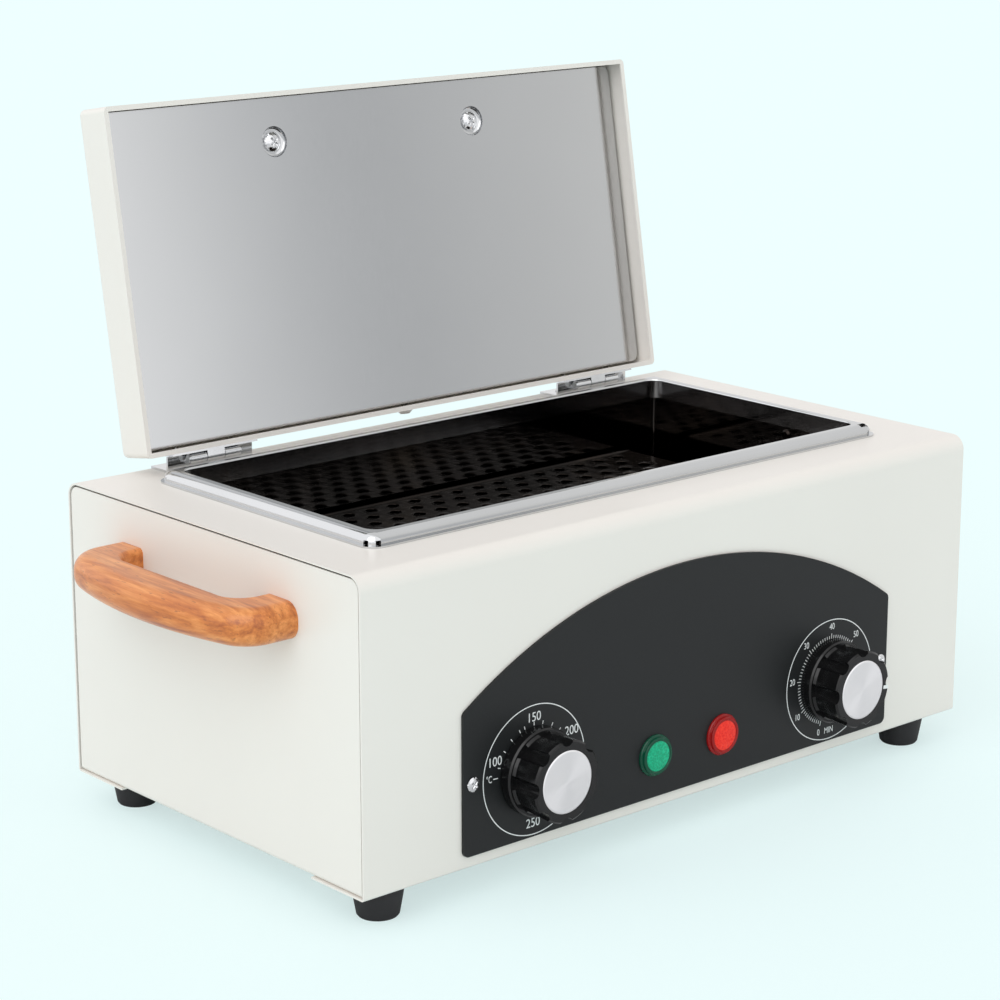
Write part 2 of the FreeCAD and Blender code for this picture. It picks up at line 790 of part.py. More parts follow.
def make_chamber():
    """Stainless pan that hangs by a narrow flange under the rim's hollow bead."""
    body = add_body("chamber")
    inner = "pan_step"
    outer = "pan_step + chamber_sheet"
    shell = add_sketch(body, "outside", "XY_Plane", ("0", "0", "pan_underside"))
    mouth_band(shell, outer)
    pad(body, "block", shell, "body_height + chamber_sheet - pan_underside")

    hanger = add_sketch(body, "hanger_outline", "XY_Plane", ("0", "0", "body_height"))
    mouth_band(hanger, outer + " + hanger_width")
    pad(body, "hanger", hanger, "chamber_sheet")

    hollow = add_sketch(body, "inside", "XY_Plane", ("0", "0", "body_height + chamber_sheet"))
    mouth_band(hollow, inner)
    pocket(body, "hollow", hollow, "chamber_sheet + chamber_depth")
    round_edges(body, "inside_corners", "chamber_corner", upright_corners(inner))
    round_edges(body, "outside_corners", "chamber_corner + chamber_sheet",
                upright_corners(outer))
    round_edges(body, "inside_folds", "chamber_fold",
                lambda edge: abs(edge.BoundBox.ZMax - val("pan_floor")) < 1e-3)
    round_edges(body, "outside_folds", "chamber_fold + chamber_sheet",
                lambda edge: abs(edge.BoundBox.ZMax - val("pan_underside")) < 1e-3)

    rivets = add_sketch(body, "rivet_holes", "YZ_Plane", ("pan_inner_half", "0", "0"))
    for y in ("clip_first", "clip_first + clip_spacing"):
        add_circle(rivets, y, "rivet_z", "rivet_radius")
    pocket(body, "clip_holes", rivets, "2 * chamber_sheet", reverse=True)
    return body


def make_tray():
    """Perforated stainless shelf that stands on its two folded edges."""
    body = add_body("tray_blank")
    fold = add_sketch(body, "fold", "YZ_Plane")
    add_polygon(fold, [
        ("tray_front", "pan_floor"),
        ("tray_front", "tray_top"),
        ("tray_back", "tray_top"),
        ("tray_back", "pan_floor"),
        ("tray_back - tray_sheet", "pan_floor"),
        ("tray_back - tray_sheet", "tray_top - tray_sheet"),
        ("tray_front + tray_sheet", "tray_top - tray_sheet"),
        ("tray_front + tray_sheet", "pan_floor"),
    ])
    pad(body, "sheet_metal", fold, "2 * tray_half", both_ways=True)
    round_edges(body, "inner_folds", "tray_fold - tray_sheet",
                straight_along(ALONG_X, y=("tray_front + tray_sheet", "tray_back - tray_sheet"),
                               z="tray_top - tray_sheet"))
    round_edges(body, "outer_folds", "tray_fold",
                straight_along(ALONG_X, y=("tray_front", "tray_back"), z="tray_top"))

    across_run = val("2 * tray_half - 2 * tray_end_margin")
    along_run = val("tray_back - (tray_front) - 2 * tray_side_margin")
    columns = 1 + int(across_run / val("tray_hole_pitch"))
    rows = 1 + int(along_run / val("tray_row_pitch"))
    tools = []
    for row in range(rows):
        across = columns - row % 2
        y = val("mouth_middle") + (row - (rows - 1) / 2) * val("tray_row_pitch")
        for column in range(across):
            x = (column - (across - 1) / 2) * val("tray_hole_pitch")
            tools.append(hexagonal_tool(x, y, val("tray_hole_radius"), val("tray_top"),
                                        val("tray_sheet")))
    holes = doc.addObject("Part::Feature", "tray_holes")
    holes.Shape = Part.makeCompound(tools)
    cut = doc.addObject("Part::Cut", "tray_cut")
    cut.Base = body
    cut.Tool = holes
    cut.Label = "tray"
    doc.recompute()
    return cut


def hexagonal_tool(x, y, radius, top, thickness):
    """A six-sided punch that goes well through a sheet."""
    corners = []
    for step in range(6):
        angle = math.radians(60 * step)
        corners.append(FreeCAD.Vector(x + radius * math.cos(angle),
                                      y + radius * math.sin(angle), top - 2 * thickness))
    face = Part.Face(Part.makePolygon(corners + corners[:1]))
    return face.extrude(FreeCAD.Vector(0, 0, 3 * thickness))


def plain_slab(label, half, y_low, y_high, bottom, thickness):
    body = add_body(label)
    sketch = add_sketch(body, "outline", "XY_Plane", ("0", "0", bottom))
    add_wide_rectangle(sketch, half, y_low, y_high)
    pad(body, "slab", sketch, thickness)
    return body


def make_heating():
    """Flat heater, the wool under it and the two straps that hold both to the chamber."""
    heater = plain_slab("heater_plate", "pan_outer_half - heater_end_inset",
                        "pan_outer_front + heater_side_inset",
                        "pan_outer_back - heater_side_inset",
                        "heater_underside", "heater_thickness")
    round_edges(heater, "corners", "2 * heater_thickness", straight_along(ALONG_Z))
    wool = plain_slab("insulation_pad", "pan_outer_half - wool_end_inset",
                      "pan_outer_front + wool_side_inset", "pan_outer_back - wool_side_inset",
                      "wool_underside", "wool_thickness")

    straps = add_body("heater_straps")
    fold = add_sketch(straps, "fold", "YZ_Plane", ("strap_place", "0", "0"))
    top = "wool_underside + strap_rise"
    add_polygon(fold, [
        ("pan_outer_front - sheet", "wool_underside - sheet"),
        ("pan_outer_front - sheet", top),
        ("pan_outer_front", top),
        ("pan_outer_front", "wool_underside"),
        ("pan_outer_back", "wool_underside"),
        ("pan_outer_back", top),
        ("pan_outer_back + sheet", top),
        ("pan_outer_back + sheet", "wool_underside - sheet"),
    ])
    strap = pad(straps, "strap", fold, "strap_width", both_ways=True)
    mirror_left(straps, strap)
    return [heater, wool, straps]


def make_bulb():
    """Sensor bulb on the chamber's right wall, and its capillary from the thermostat."""
    start_x = -val("dial_x") + val("thermostat_width") / 4
    depth = val("capillary_depth")
    start_z = val("dial_z + thermostat_width / 2")
    run_z = start_z + val("capillary_rise")
    route = [
        FreeCAD.Vector(start_x, depth, start_z),
        FreeCAD.Vector(start_x, depth, run_z),
        FreeCAD.Vector(val("bulb_x"), depth, run_z),
        FreeCAD.Vector(val("bulb_x"), depth, val("bulb_z")),
        FreeCAD.Vector(val("bulb_x"), val("clip_first - bulb_length / 4"), val("bulb_z")),
    ]
    wire = rounded_route(route, val("capillary_bend"))
    profile = Part.Wire(Part.makeCircle(val("capillary_radius"), route[0], ALONG_Z))
    tube = wire.makePipeShell([profile], True, True)
    bulb = Part.makeCylinder(val("bulb_radius"), val("bulb_length"), route[-1], ALONG_Y)
    sensor = doc.addObject("Part::Feature", "thermostat_bulb")
    sensor.Shape = tube.fuse(bulb)
    return sensor


def rounded_route(points, bend):
    """Straight runs through the points, joined by tangent arcs."""
    edges = []
    here = points[0]
    for corner, following in zip(points[1:-1], points[2:]):
        back = (here - corner).normalize()
        ahead = (following - corner).normalize()
        start = corner + back * bend
        end = corner + ahead * bend
        middle = corner + (back + ahead) * bend * (1 - math.sqrt(0.5))
        edges.append(Part.LineSegment(here, start).toShape())
        edges.append(Part.Arc(start, middle, end).toShape())
        here = end
    edges.append(Part.LineSegment(here, points[-1]).toShape())
    return Part.Wire(edges)


def make_bulb_clips():
    """Two hooked clips over the bulb, each riveted through the chamber's wall."""
    hook = "bulb_x + bulb_radius + hole_clearance"
    shelf = "bulb_z + bulb_radius + hole_clearance"
    clips = add_body("bulb_clips")
    fold = add_sketch(clips, "fold", "XZ_Plane", ("0", "clip_first", "0"))
    add_polygon(fold, [
        ("pan_outer_half", shelf),
        ("pan_outer_half", "rivet_z + 2 * rivet_radius"),
        ("pan_outer_half + sheet", "rivet_z + 2 * rivet_radius"),
        ("pan_outer_half + sheet", "%s + sheet" % shelf),
        ("%s + sheet" % hook, "%s + sheet" % shelf),
        ("%s + sheet" % hook, "bulb_z - bulb_radius"),
        (hook, "bulb_z - bulb_radius"),
        (hook, shelf),
    ])
    strip = pad(clips, "strip", fold, "clip_width", both_ways=True)
    hole_sketch = add_sketch(clips, "rivet_hole", "YZ_Plane", ("pan_outer_half", "0", "0"))
    add_circle(hole_sketch, "clip_first", "rivet_z", "rivet_radius")
    hole = pocket(clips, "hole", hole_sketch, "2 * sheet", reverse=True)
    repeat(clips, [strip, hole], ("Y_Axis", "clip_spacing", "2"))

    grip = "chamber_sheet + sheet"
    rivets = turned("bulb_rivets", "XY_Plane", ("pan_inner_half", "clip_first", "rivet_z"), [
        ("0", "-rivet_head_height"),
        ("0.6 * rivet_head_radius", "-rivet_head_height"),
        ("rivet_head_radius", "-0.3 * rivet_head_height"),
        ("rivet_head_radius", "0"),
        ("rivet_radius", "0"),
        ("rivet_radius", grip),
        ("1.5 * rivet_radius", grip),
        ("1.3 * rivet_radius", grip + " + rivet_head_height"),
        ("0", grip + " + rivet_head_height"),
    ], axis="H_Axis")
    repeat(rivets, [rivets.Tip], ("Y_Axis", "clip_spacing", "2"))
    return [clips, rivets]


# Front panel and controls

def make_control_panel():
    """Thin plate with an arched top, its corners rounded, bored for lamps and controls."""
    body = add_body("control_panel")
    outline = add_sketch(body, "outline", "XZ_Plane")
    half, foot, shoulder = "panel_half", "panel_foot", "panel_shoulder"
    rise = "(panel_crown - panel_shoulder)"
    arch = "((panel_half * panel_half + %s * %s) / (2 * %s))" % (rise, rise, rise)
    corners = [("-(%s)" % half, shoulder), ("-(%s)" % half, foot), (half, foot), (half, shoulder)]
    spots = [FreeCAD.Vector(val(x), val(y), 0) for x, y in corners]
    for start, end in zip(spots, spots[1:]):
        outline.addGeometry(Part.LineSegment(start, end))
    crown = FreeCAD.Vector(0, val("panel_crown"), 0)
    outline.addGeometry(Part.Arc(spots[3], crown, spots[0]))
    for here in range(3):
        outline.addConstraint(Sketcher.Constraint("Coincident", here, 2, (here + 1) % 4, 1))
    outline.addConstraint(Sketcher.Constraint("Coincident", 3, 2, 0, 1))
    for here, (x, y) in enumerate(corners[:3]):
        pin_point(outline, here, 1, x, y)
    pin_point(outline, 2, 2, half, shoulder)
    rule = outline.addConstraint(Sketcher.Constraint("Radius", 3, val(arch)))
    outline.setExpression("Constraints[%d]" % rule, expr(arch))
    for side in ("", "-"):
        add_circle(outline, side + "dial_x", "dial_z", "control_hole")
        add_circle(outline, side + "lamp_x", "lamp_z", "lamp_hole")
        add_circle(outline, side + "panel_screw_x", "panel_screw_z", "tapper_hole")
    pad(body, "plate", outline, "panel_thickness")
    round_edges(body, "corners", "panel_corner",
                straight_along(ALONG_Y, x=("panel_half", "-(panel_half)")))
    return body


def make_panel_screws():
    screws = turned("panel_screws", "XY_Plane", ("panel_screw_x", "-panel_thickness",
                                                "panel_screw_z"),
                    screw_outline("1.3 * tapper_head_radius", "1.4 * tapper_head_height",
                                  "tapper_radius", "tapper_length + panel_thickness", way=-1))
    mirror_left(screws, screws.Tip)
    return screws


def make_knob(label, x):
    """Skirted knob with a fluted grip, hollow behind for the bush nut."""
    body = turned(label, "XY_Plane", (x, "0", "dial_z"), [
        ("0", "-(cap_seat)"),
        ("cap_radius + hole_clearance", "-(cap_seat)"),
        ("cap_radius + hole_clearance", "-knob_reach + 0.2 * cap_thickness"),
        ("knob_front_radius - 0.8", "-knob_reach + 0.2 * cap_thickness"),
        ("knob_front_radius", "-knob_reach + cap_thickness"),
        ("knob_waist_radius", "-(knob_back + knob_skirt_depth) - 1.2"),
        ("knob_waist_radius + 0.8", "-(knob_back + knob_skirt_depth)"),
        ("knob_skirt_radius - 0.6", "-(knob_back + knob_skirt_depth)"),
        ("knob_skirt_radius", "-(knob_back + knob_skirt_depth) + 0.8"),
        ("knob_skirt_radius", "-(knob_back)"),
        ("knob_well_radius", "-(knob_back)"),
        ("knob_well_radius", "-(knob_back + knob_well_depth)"),
        ("shaft_radius", "-(knob_back + knob_well_depth)"),
        ("shaft_radius", "-(knob_back + knob_bore_depth)"),
        ("0", "-(knob_back + knob_bore_depth)"),
    ])
    flute = add_sketch(body, "flute_outline", "XZ_Plane",
                       (x, "-(knob_back + knob_skirt_depth)", "dial_z"))
    add_circle(flute, "0", "flute_circle", "flute_radius")
    cut = pocket(body, "flute", flute, "knob_reach", reverse=True)
    ring = body.newObject("PartDesign::PolarPattern", "flutes")
    ring.Originals = [cut]
    ring.Axis = (flute, ["N_Axis"])
    ring.Angle = 360
    ring.setExpression("Occurrences", expr("flute_count"))
    settle(body, ring)
    return body


def make_controls():
    """Both knobs with their caps and shafts, and the two units behind the panel."""
    made = []
    for word, x in (("thermostat", "-dial_x"), ("timer", "dial_x")):
        made.append(make_knob(word + "_knob", x))
        made.append(turned(word + "_knob_cap", "XY_Plane", (x, "0", "dial_z"), [
            ("0", "-(cap_seat)"),
            ("cap_radius", "-(cap_seat)"),
            ("cap_radius", "-knob_reach + 0.3 * cap_thickness"),
            ("cap_radius - 0.6", "-knob_reach"),
            ("0", "-knob_reach"),
        ]))
        made.append(turned(word + "_shaft", "XY_Plane", (x, "0", "dial_z"), [
            ("0", "-(knob_back + knob_bore_depth)"),
            ("shaft_radius", "-(knob_back + knob_bore_depth)"),
            ("shaft_radius", "shaft_depth - 0.4"),
            ("0", "shaft_depth - 0.4"),
        ]))

    thermostat = add_body("thermostat_body")
    block = add_sketch(thermostat, "block_outline", "XZ_Plane", ("-dial_x", "sheet", "dial_z"))
    half = "thermostat_width / 2"
    add_rectangle(block, "-(%s)" % half, half, "-(%s)" % half, half)
    pad(thermostat, "block", block, "thermostat_depth", reverse=True)
    made.append(add_bush(thermostat, "-dial_x"))

    timer = add_body("timer_body")
    drum = add_sketch(timer, "drum_outline", "XZ_Plane", ("dial_x", "sheet", "dial_z"))
    add_circle(drum, "0", "0", "timer_radius")
    pad(timer, "drum", drum, "timer_depth", reverse=True)
    made.append(add_bush(timer, "dial_x"))

    nuts = hex_nut("bush_nuts", "XZ_Plane", ("dial_x", "-panel_thickness", "dial_z"),
                   "bush_nut_flats", "control_hole", "bush_nut_height")
    mirror_left(nuts, nuts.Tip)
    made.append(nuts)
    return made


def add_bush(body, x):
    """The threaded neck of a control, through the panel, with its shaft's bore."""
    neck = add_sketch(body, "neck_outline", "XZ_Plane", (x, "sheet", "dial_z"))
    add_circle(neck, "0", "0", "bush_radius")
    pad(body, "neck", neck, "sheet + panel_thickness + bush_nut_height + 0.4")
    bore = add_sketch(body, "bore_outline", "XZ_Plane", (x, "-(knob_reach)", "dial_z"))
    add_circle(bore, "0", "0", "shaft_radius + shaft_fit")
    pocket(body, "bore", bore, "knob_reach + shaft_depth")
    return body


def make_lamps():
    """Green and red indicator lenses, with their holders and ring nuts behind."""
    made = []
    face = "panel_thickness"
    for word, x in (("green", "-lamp_x"), ("red", "lamp_x")):
        made.append(turned("lamp_lens_" + word, "XY_Plane", (x, "0", "lamp_z"), [
            ("0", "-(%s + lamp_lens_height)" % face),
            ("lamp_lens_radius - 0.4", "-(%s + lamp_lens_height)" % face),
            ("lamp_lens_radius", "-(%s + lamp_lens_height) + 0.4" % face),
            ("lamp_lens_radius", "-(%s + lamp_flange_height)" % face),
            ("lamp_flange_radius - 0.7", "-(%s + lamp_flange_height)" % face),
            ("lamp_flange_radius", "-(%s) - 0.5" % face),
            ("lamp_flange_radius", "-(%s)" % face),
            ("lamp_barrel_radius", "-(%s)" % face),
            ("lamp_barrel_radius", "lamp_barrel_depth"),
            ("0", "lamp_barrel_depth"),
        ]))
    holders = turned("lamp_holders", "XY_Plane", ("lamp_x", "lamp_barrel_depth", "lamp_z"), [
        ("0", "0"),
        ("lamp_barrel_radius", "0"),
        ("lamp_barrel_radius", "0.75 * lamp_body_depth"),
        ("0.4 * lamp_barrel_radius", "0.75 * lamp_body_depth"),
        ("0.4 * lamp_barrel_radius", "lamp_body_depth"),
        ("0", "lamp_body_depth"),
    ])
    mirror_left(holders, holders.Tip)
    nuts = hex_nut("lamp_nuts", "XZ_Plane", ("lamp_x", "sheet", "lamp_z"),
                   "lamp_nut_flats", "lamp_hole", "lamp_nut_height", reverse=True)
    mirror_left(nuts, nuts.Tip)
    made += [holders, nuts]
    return made


# Mains entry

def make_mains_entry():
    """Gland in the back wall, its ring nut, and the terminal block on the floor."""
    back = ("gland_x", "body_back", "gland_z")
    gland = turned("cord_gland", "XY_Plane", back, [
        ("gland_bore", "gland_flange"),
        ("gland_flange_radius - 2", "gland_flange"),
        ("gland_flange_radius", "0.4 * gland_flange"),
        ("gland_flange_radius", "0"),
        ("gland_radius", "0"),
        ("gland_radius", "gland_flange - gland_length"),
        ("gland_bore", "gland_flange - gland_length"),
    ])
    nut = hex_nut("gland_nut", "XZ_Plane", ("gland_x", "body_back - sheet", "gland_z"),
                  "gland_nut_flats", "gland_radius + hole_clearance", "gland_nut_height")
    block = add_body("terminal_block")
    outline = add_sketch(block, "outline", "XY_Plane", ("gland_x", "0", "floor_top"))
    half = "terminal_length / 2"
    far = "body_back - flange_width"
    add_rectangle(outline, "-(%s)" % half, half, far + " - terminal_width", far)
    pad(block, "block", outline, "terminal_height")
    round_edges(block, "edges", "1.5", straight_along(ALONG_Z))
    return [gland, nut, block]


# Wooden handles

def bow_outline(sketch, spacing, turn):
    """Side view of a bow handle: u runs along it, v out from the face it stands on."""
    half = "(%s / 2 + handle_leg / 2)" % spacing
    inner = "(%s / 2 - handle_leg / 2)" % spacing
    shoulder = "(handle_reach - handle_crown)"
    arch = "((%s * %s + handle_crown * handle_crown) / (2 * handle_crown))" % (half, half)
    points = [
        ("-" + half, shoulder),
        ("-" + half, "0"),
        ("-" + inner, "0"),
        ("-" + inner, "handle_gap"),
        (inner, "handle_gap"),
        (inner, "0"),
        (half, "0"),
        (half, shoulder),
    ]
    turned_points = [turn(u, v) for u, v in points]
    spots = [FreeCAD.Vector(val(x), val(y), 0) for x, y in turned_points]
    for start, end in zip(spots, spots[1:]):
        sketch.addGeometry(Part.LineSegment(start, end))
    top_x, top_y = turn("0", "handle_reach")
    crown = FreeCAD.Vector(val(top_x), val(top_y), 0)
    sketch.addGeometry(Part.Arc(spots[-1], crown, spots[0]))
    last = len(points) - 1
    for here in range(last - 1):
        sketch.addConstraint(Sketcher.Constraint("Coincident", here, 2, here + 1, 1))
    arc_start = 1 if (sketch.getPoint(last, 1) - spots[-1]).Length < 1e-6 else 2
    sketch.addConstraint(Sketcher.Constraint("Coincident", last - 1, 2, last, arc_start))
    sketch.addConstraint(Sketcher.Constraint("Coincident", last, 3 - arc_start, 0, 1))
    for here, (x, y) in enumerate(turned_points[:last]):
        pin_point(sketch, here, 1, x, y)
    pin_point(sketch, last - 1, 2, *turned_points[last])
    rule = sketch.addConstraint(Sketcher.Constraint("Radius", last, val(arch)))
    sketch.setExpression("Constraints[%d]" % rule, expr(arch))


def make_bow(label, role, at, spacing, turn, out_of):
    """A bow handle cut from a board, its corners swept round and its edges softened."""
    body = add_body(label)
    side = add_sketch(body, "side_view", role, at)
    bow_outline(side, spacing, turn)
    pad(body, "board", side, "handle_height", both_ways=True)
    half = val("(%s + handle_leg) / 2" % spacing)
    inner = val("(%s - handle_leg) / 2" % spacing)
    grain = ALONG_Z if role == "XY_Plane" else ALONG_Y

    def across_board(edge):
        return (edge.Curve.TypeId == "Part::GeomLine"
                and abs(edge.tangentAt(edge.FirstParameter).dot(grain)) > 0.999)

    def outer_corner(edge):
        u, v = out_of(edge.CenterOfMass)
        return across_board(edge) and abs(abs(u) - half) < 1e-3 and v > 1

    def inner_corner(edge):
        u, v = out_of(edge.CenterOfMass)
        return across_board(edge) and abs(abs(u) - inner) < 1e-3 and v > 1

    round_edges(body, "outer_corners", "handle_corner", outer_corner)
    round_edges(body, "inner_corners", "handle_inner_corner", inner_corner)

    def rim_edge(edge):
        if edge.Length < 1e-6:
            return False
        middle = edge.valueAt((edge.FirstParameter + edge.LastParameter) / 2)
        ends = [vertex.Point for vertex in edge.Vertexes]
        level = middle.dot(grain)
        flat = all(abs(point.dot(grain) - level) < 1e-3 for point in ends)
        return flat and out_of(middle)[1] > 1e-3

    def outside(edge):
        u, v = out_of(edge.valueAt((edge.FirstParameter + edge.LastParameter) / 2))
        return abs(u) > half - 0.5 or v > val("handle_gap") + 3

    round_edges(body, "outer_edges", "handle_round",
                lambda edge: not across_board(edge) and rim_edge(edge) and outside(edge))
    round_edges(body, "inner_edges", "handle_inner_round",
                lambda edge: not across_board(edge) and rim_edge(edge) and not outside(edge)
                and on_board_face(edge, grain))

    for way in ("", "-"):
        u = "%s(%s / 2)" % (way, spacing)
        hole_at_leg(body, role, at, turn, u)
    return body


def on_board_face(edge, grain):
    """True for an edge on one of the board's two flat faces."""
    middle = edge.valueAt((edge.FirstParameter + edge.LastParameter) / 2)
    level = middle.dot(grain)
    if grain is ALONG_Z:
        centre = val("handle_z")
    else:
        centre = val("lid_screw_line")
    return abs(abs(level - centre) - val("handle_height / 2")) < 1e-3


def hole_at_leg(body, role, at, turn, u):
    """A blind hole up the middle of one leg for its screw."""
    x, y, z = at
    sign_u, sign_v = turn(u, "0")
    if role == "XY_Plane":
        sketch = add_sketch(body, "screw_hole", "YZ_Plane", (x, y, z))
        add_circle(sketch, u, "0", "screw_radius")
        outwards = turn("0", "1")[0] == "1"
    else:
        sketch = add_sketch(body, "screw_hole", "XY_Plane", (x, y, z))
        add_circle(sketch, sign_u, "0", "screw_radius")
        outwards = True
    pocket(body, "hole", sketch, "handle_screw_depth", reverse=outwards)


def make_handles():
    """Side handles on the chassis and their screws, driven from inside."""
    left = make_bow("handle_left", "XY_Plane", ("-(side_face)", "handle_middle", "handle_z"),
                    "handle_spacing", lambda u, v: ("-(%s)" % v, u),
                    lambda p: (p.y - val("handle_middle"), -p.x - val("side_face")))
    right = make_bow("handle_right", "XY_Plane", ("side_face", "handle_middle", "handle_z"),
                     "handle_spacing", lambda u, v: (v, u),
                     lambda p: (p.y - val("handle_middle"), p.x - val("side_face")))
    screws = turned("handle_screws", "XY_Plane",
                    ("side_face - sheet", "handle_middle - handle_spacing / 2", "handle_z"),
                    screw_outline("screw_head_radius", "screw_head_height", "screw_radius",
                                  "sheet + handle_screw_depth", way=-1), axis="H_Axis")
    repeat(screws, [screws.Tip], "mirror", ("Y_Axis", "handle_spacing", "2"))
    return [left, right, screws]


# Lid

def make_lid_shell():
    """Painted tray of a lid, its free edge hemmed inwards."""
    body = add_body("lid_shell")
    block = add_sketch(body, "outline", "XY_Plane", ("0", "0", "lid_bottom"))
    add_wide_rectangle(block, "lid_half", "lid_front", "lid_rear")
    pad(body, "block", block, "lid_height")

    inside = add_sketch(body, "inside", "XY_Plane", ("0", "0", "lid_bottom + lid_hem_thickness"))
    add_wide_rectangle(inside, "lid_half - lid_sheet",
                       "lid_front + lid_sheet", "lid_rear - lid_sheet")
    pocket(body, "hollow", inside, "lid_height - lid_hem_thickness - lid_sheet", reverse=True)
    hem = add_sketch(body, "hem", "XY_Plane", ("0", "0", "lid_bottom"))
    add_wide_rectangle(hem, "lid_half - lid_hem", "lid_front + lid_hem", "lid_rear - lid_hem")
    pocket(body, "hem_opening", hem, "lid_hem_thickness", reverse=True)

    round_edges(body, "inside_corners", "lid_corner - lid_sheet",
                straight_along(ALONG_Z, x=("lid_half - lid_sheet", "lid_sheet - (lid_half)")))
    round_edges(body, "corners", "lid_corner",
                straight_along(ALONG_Z, x=("lid_half", "-(lid_half)")))
    round_edges(body, "inside_round", "lid_edge_round - lid_sheet",
                lambda edge: abs(edge.BoundBox.ZMin - val("lid_top - lid_sheet")) < 1e-3)
    round_edges(body, "top_round", "lid_edge_round",
                lambda edge: abs(edge.BoundBox.ZMin - val("lid_top")) < 1e-3)

    top = add_sketch(body, "handle_holes", "XY_Plane", ("0", "0", "lid_top"))
    for side in ("", "-"):
        add_circle(top, side + "(lid_screw_x)", "lid_screw_line", "screw_hole")
    pocket(body, "top_holes", top, "2 * lid_sheet")

    rear = add_sketch(body, "rear_holes", "XZ_Plane", ("0", "lid_rear", "0"))
    for side in ("hinge_x", "-hinge_x"):
        for end in (" + hinge_screw_x", " - hinge_screw_x"):
            add_circle(rear, side + end, "lid_leaf_screw_z", "tapper_hole")
    add_circle(rear, "0", "lid_bottom + rear_screw_rise", "tapper_hole")
    pocket(body, "hinge_holes", rear, "2 * lid_sheet", reverse=True)
    return body


def make_lid_liner():
    """Polished sheet inside the lid, dished round the two handle screws."""
    body = add_body("lid_liner")
    edge = "lid_sheet + liner_gap"
    plate = add_sketch(body, "outline", "XY_Plane", ("0", "0", "liner_z"))
    add_wide_rectangle(plate, "lid_half - (%s)" % edge,
                       "lid_front + %s" % edge, "lid_rear - (%s)" % edge)
    pad(body, "plate", plate, "liner_sheet")
    round_edges(body, "corners", "liner_corner", straight_along(ALONG_Z))
    cups = add_sketch(body, "cup_outlines", "XY_Plane", ("0", "0", "liner_z"))
    dishes = add_sketch(body, "dish_outlines", "XY_Plane", ("0", "0", "liner_z"))
    holes = add_sketch(body, "hole_outlines", "XY_Plane", ("0", "0", "liner_z"))
    for side in ("", "-"):
        spot = (side + "(lid_screw_x)", "lid_screw_line")
        add_circle(cups, *spot, "dish_radius + liner_sheet")
        add_circle(dishes, *spot, "dish_radius")
        add_circle(holes, *spot, "screw_hole")
    pad(body, "cups", cups, "dish_depth + liner_sheet")
    pocket(body, "dishes", dishes, "dish_depth", reverse=True)
    round_edges(body, "dish_floor", "0.8 * dish_depth",
                lambda e: e.Curve.TypeId == "Part::GeomCircle"
                and abs(e.Curve.Radius - val("dish_radius")) < 1e-3
                and abs(e.CenterOfMass.z - val("liner_z + dish_depth")) < 1e-3)
    pocket(body, "screw_holes", holes, "2 * dish_depth", reverse=True)
    return body


def make_lid_filling():
    """Wool between the liner and the shell, cleared round the two dishes."""
    body = add_body("lid_insulation")
    block = add_sketch(body, "outline", "XY_Plane", ("0", "0", "liner_top"))
    inset = "tapper_length + lid_wool_gap"
    add_wide_rectangle(block, "lid_half - (%s)" % inset,
                       "lid_front + %s" % inset, "lid_rear - (%s)" % inset)
    for side in ("", "-"):
        add_circle(block, side + "(lid_screw_x)", "lid_screw_line",
                   "dish_radius + 3 * liner_sheet")
    pad(body, "slab", block, "lid_top - lid_sheet - (liner_top)")
    return body


def make_lid_fasteners():
    """Screws that hold the lid's handle, its hinges and the middle of its rear wall."""
    seat = "liner_z + dish_depth"
    handle = turned("lid_handle_screws", "XZ_Plane", ("lid_screw_x", "lid_screw_line", seat),
                    screw_outline("lid_screw_head_radius", "lid_screw_head_height",
                                  "screw_radius", "lid_top - (%s) + handle_screw_depth" % seat,
                                  way=-1))
    mirror_left(handle, handle.Tip)

    leaf = turned("hinge_lid_screws", "XY_Plane",
                  ("hinge_x - hinge_screw_x", "leaf_back", "lid_leaf_screw_z"),
                  screw_outline("tapper_head_radius", "tapper_head_height",
                                "tapper_radius", "tapper_length"))
    repeat(leaf, [leaf.Tip], ("X_Axis", "2 * hinge_screw_x", "2"), "mirror")

    rear = turned("lid_rear_screw", "XY_Plane",
                  ("0", "lid_rear", "lid_bottom + rear_screw_rise"),
                  screw_outline("1.55 * tapper_head_radius", "2.4 * tapper_head_height",
                                "tapper_radius", "tapper_length"))
    return [handle, leaf, rear]


def make_lid_handle():
    return make_bow("lid_handle", "XZ_Plane", ("0", "lid_screw_line", "lid_top"),
                    "lid_handle_spacing", lambda u, v: (u, v),
                    lambda p: (p.x, p.z - val("lid_top")))


# Hinges

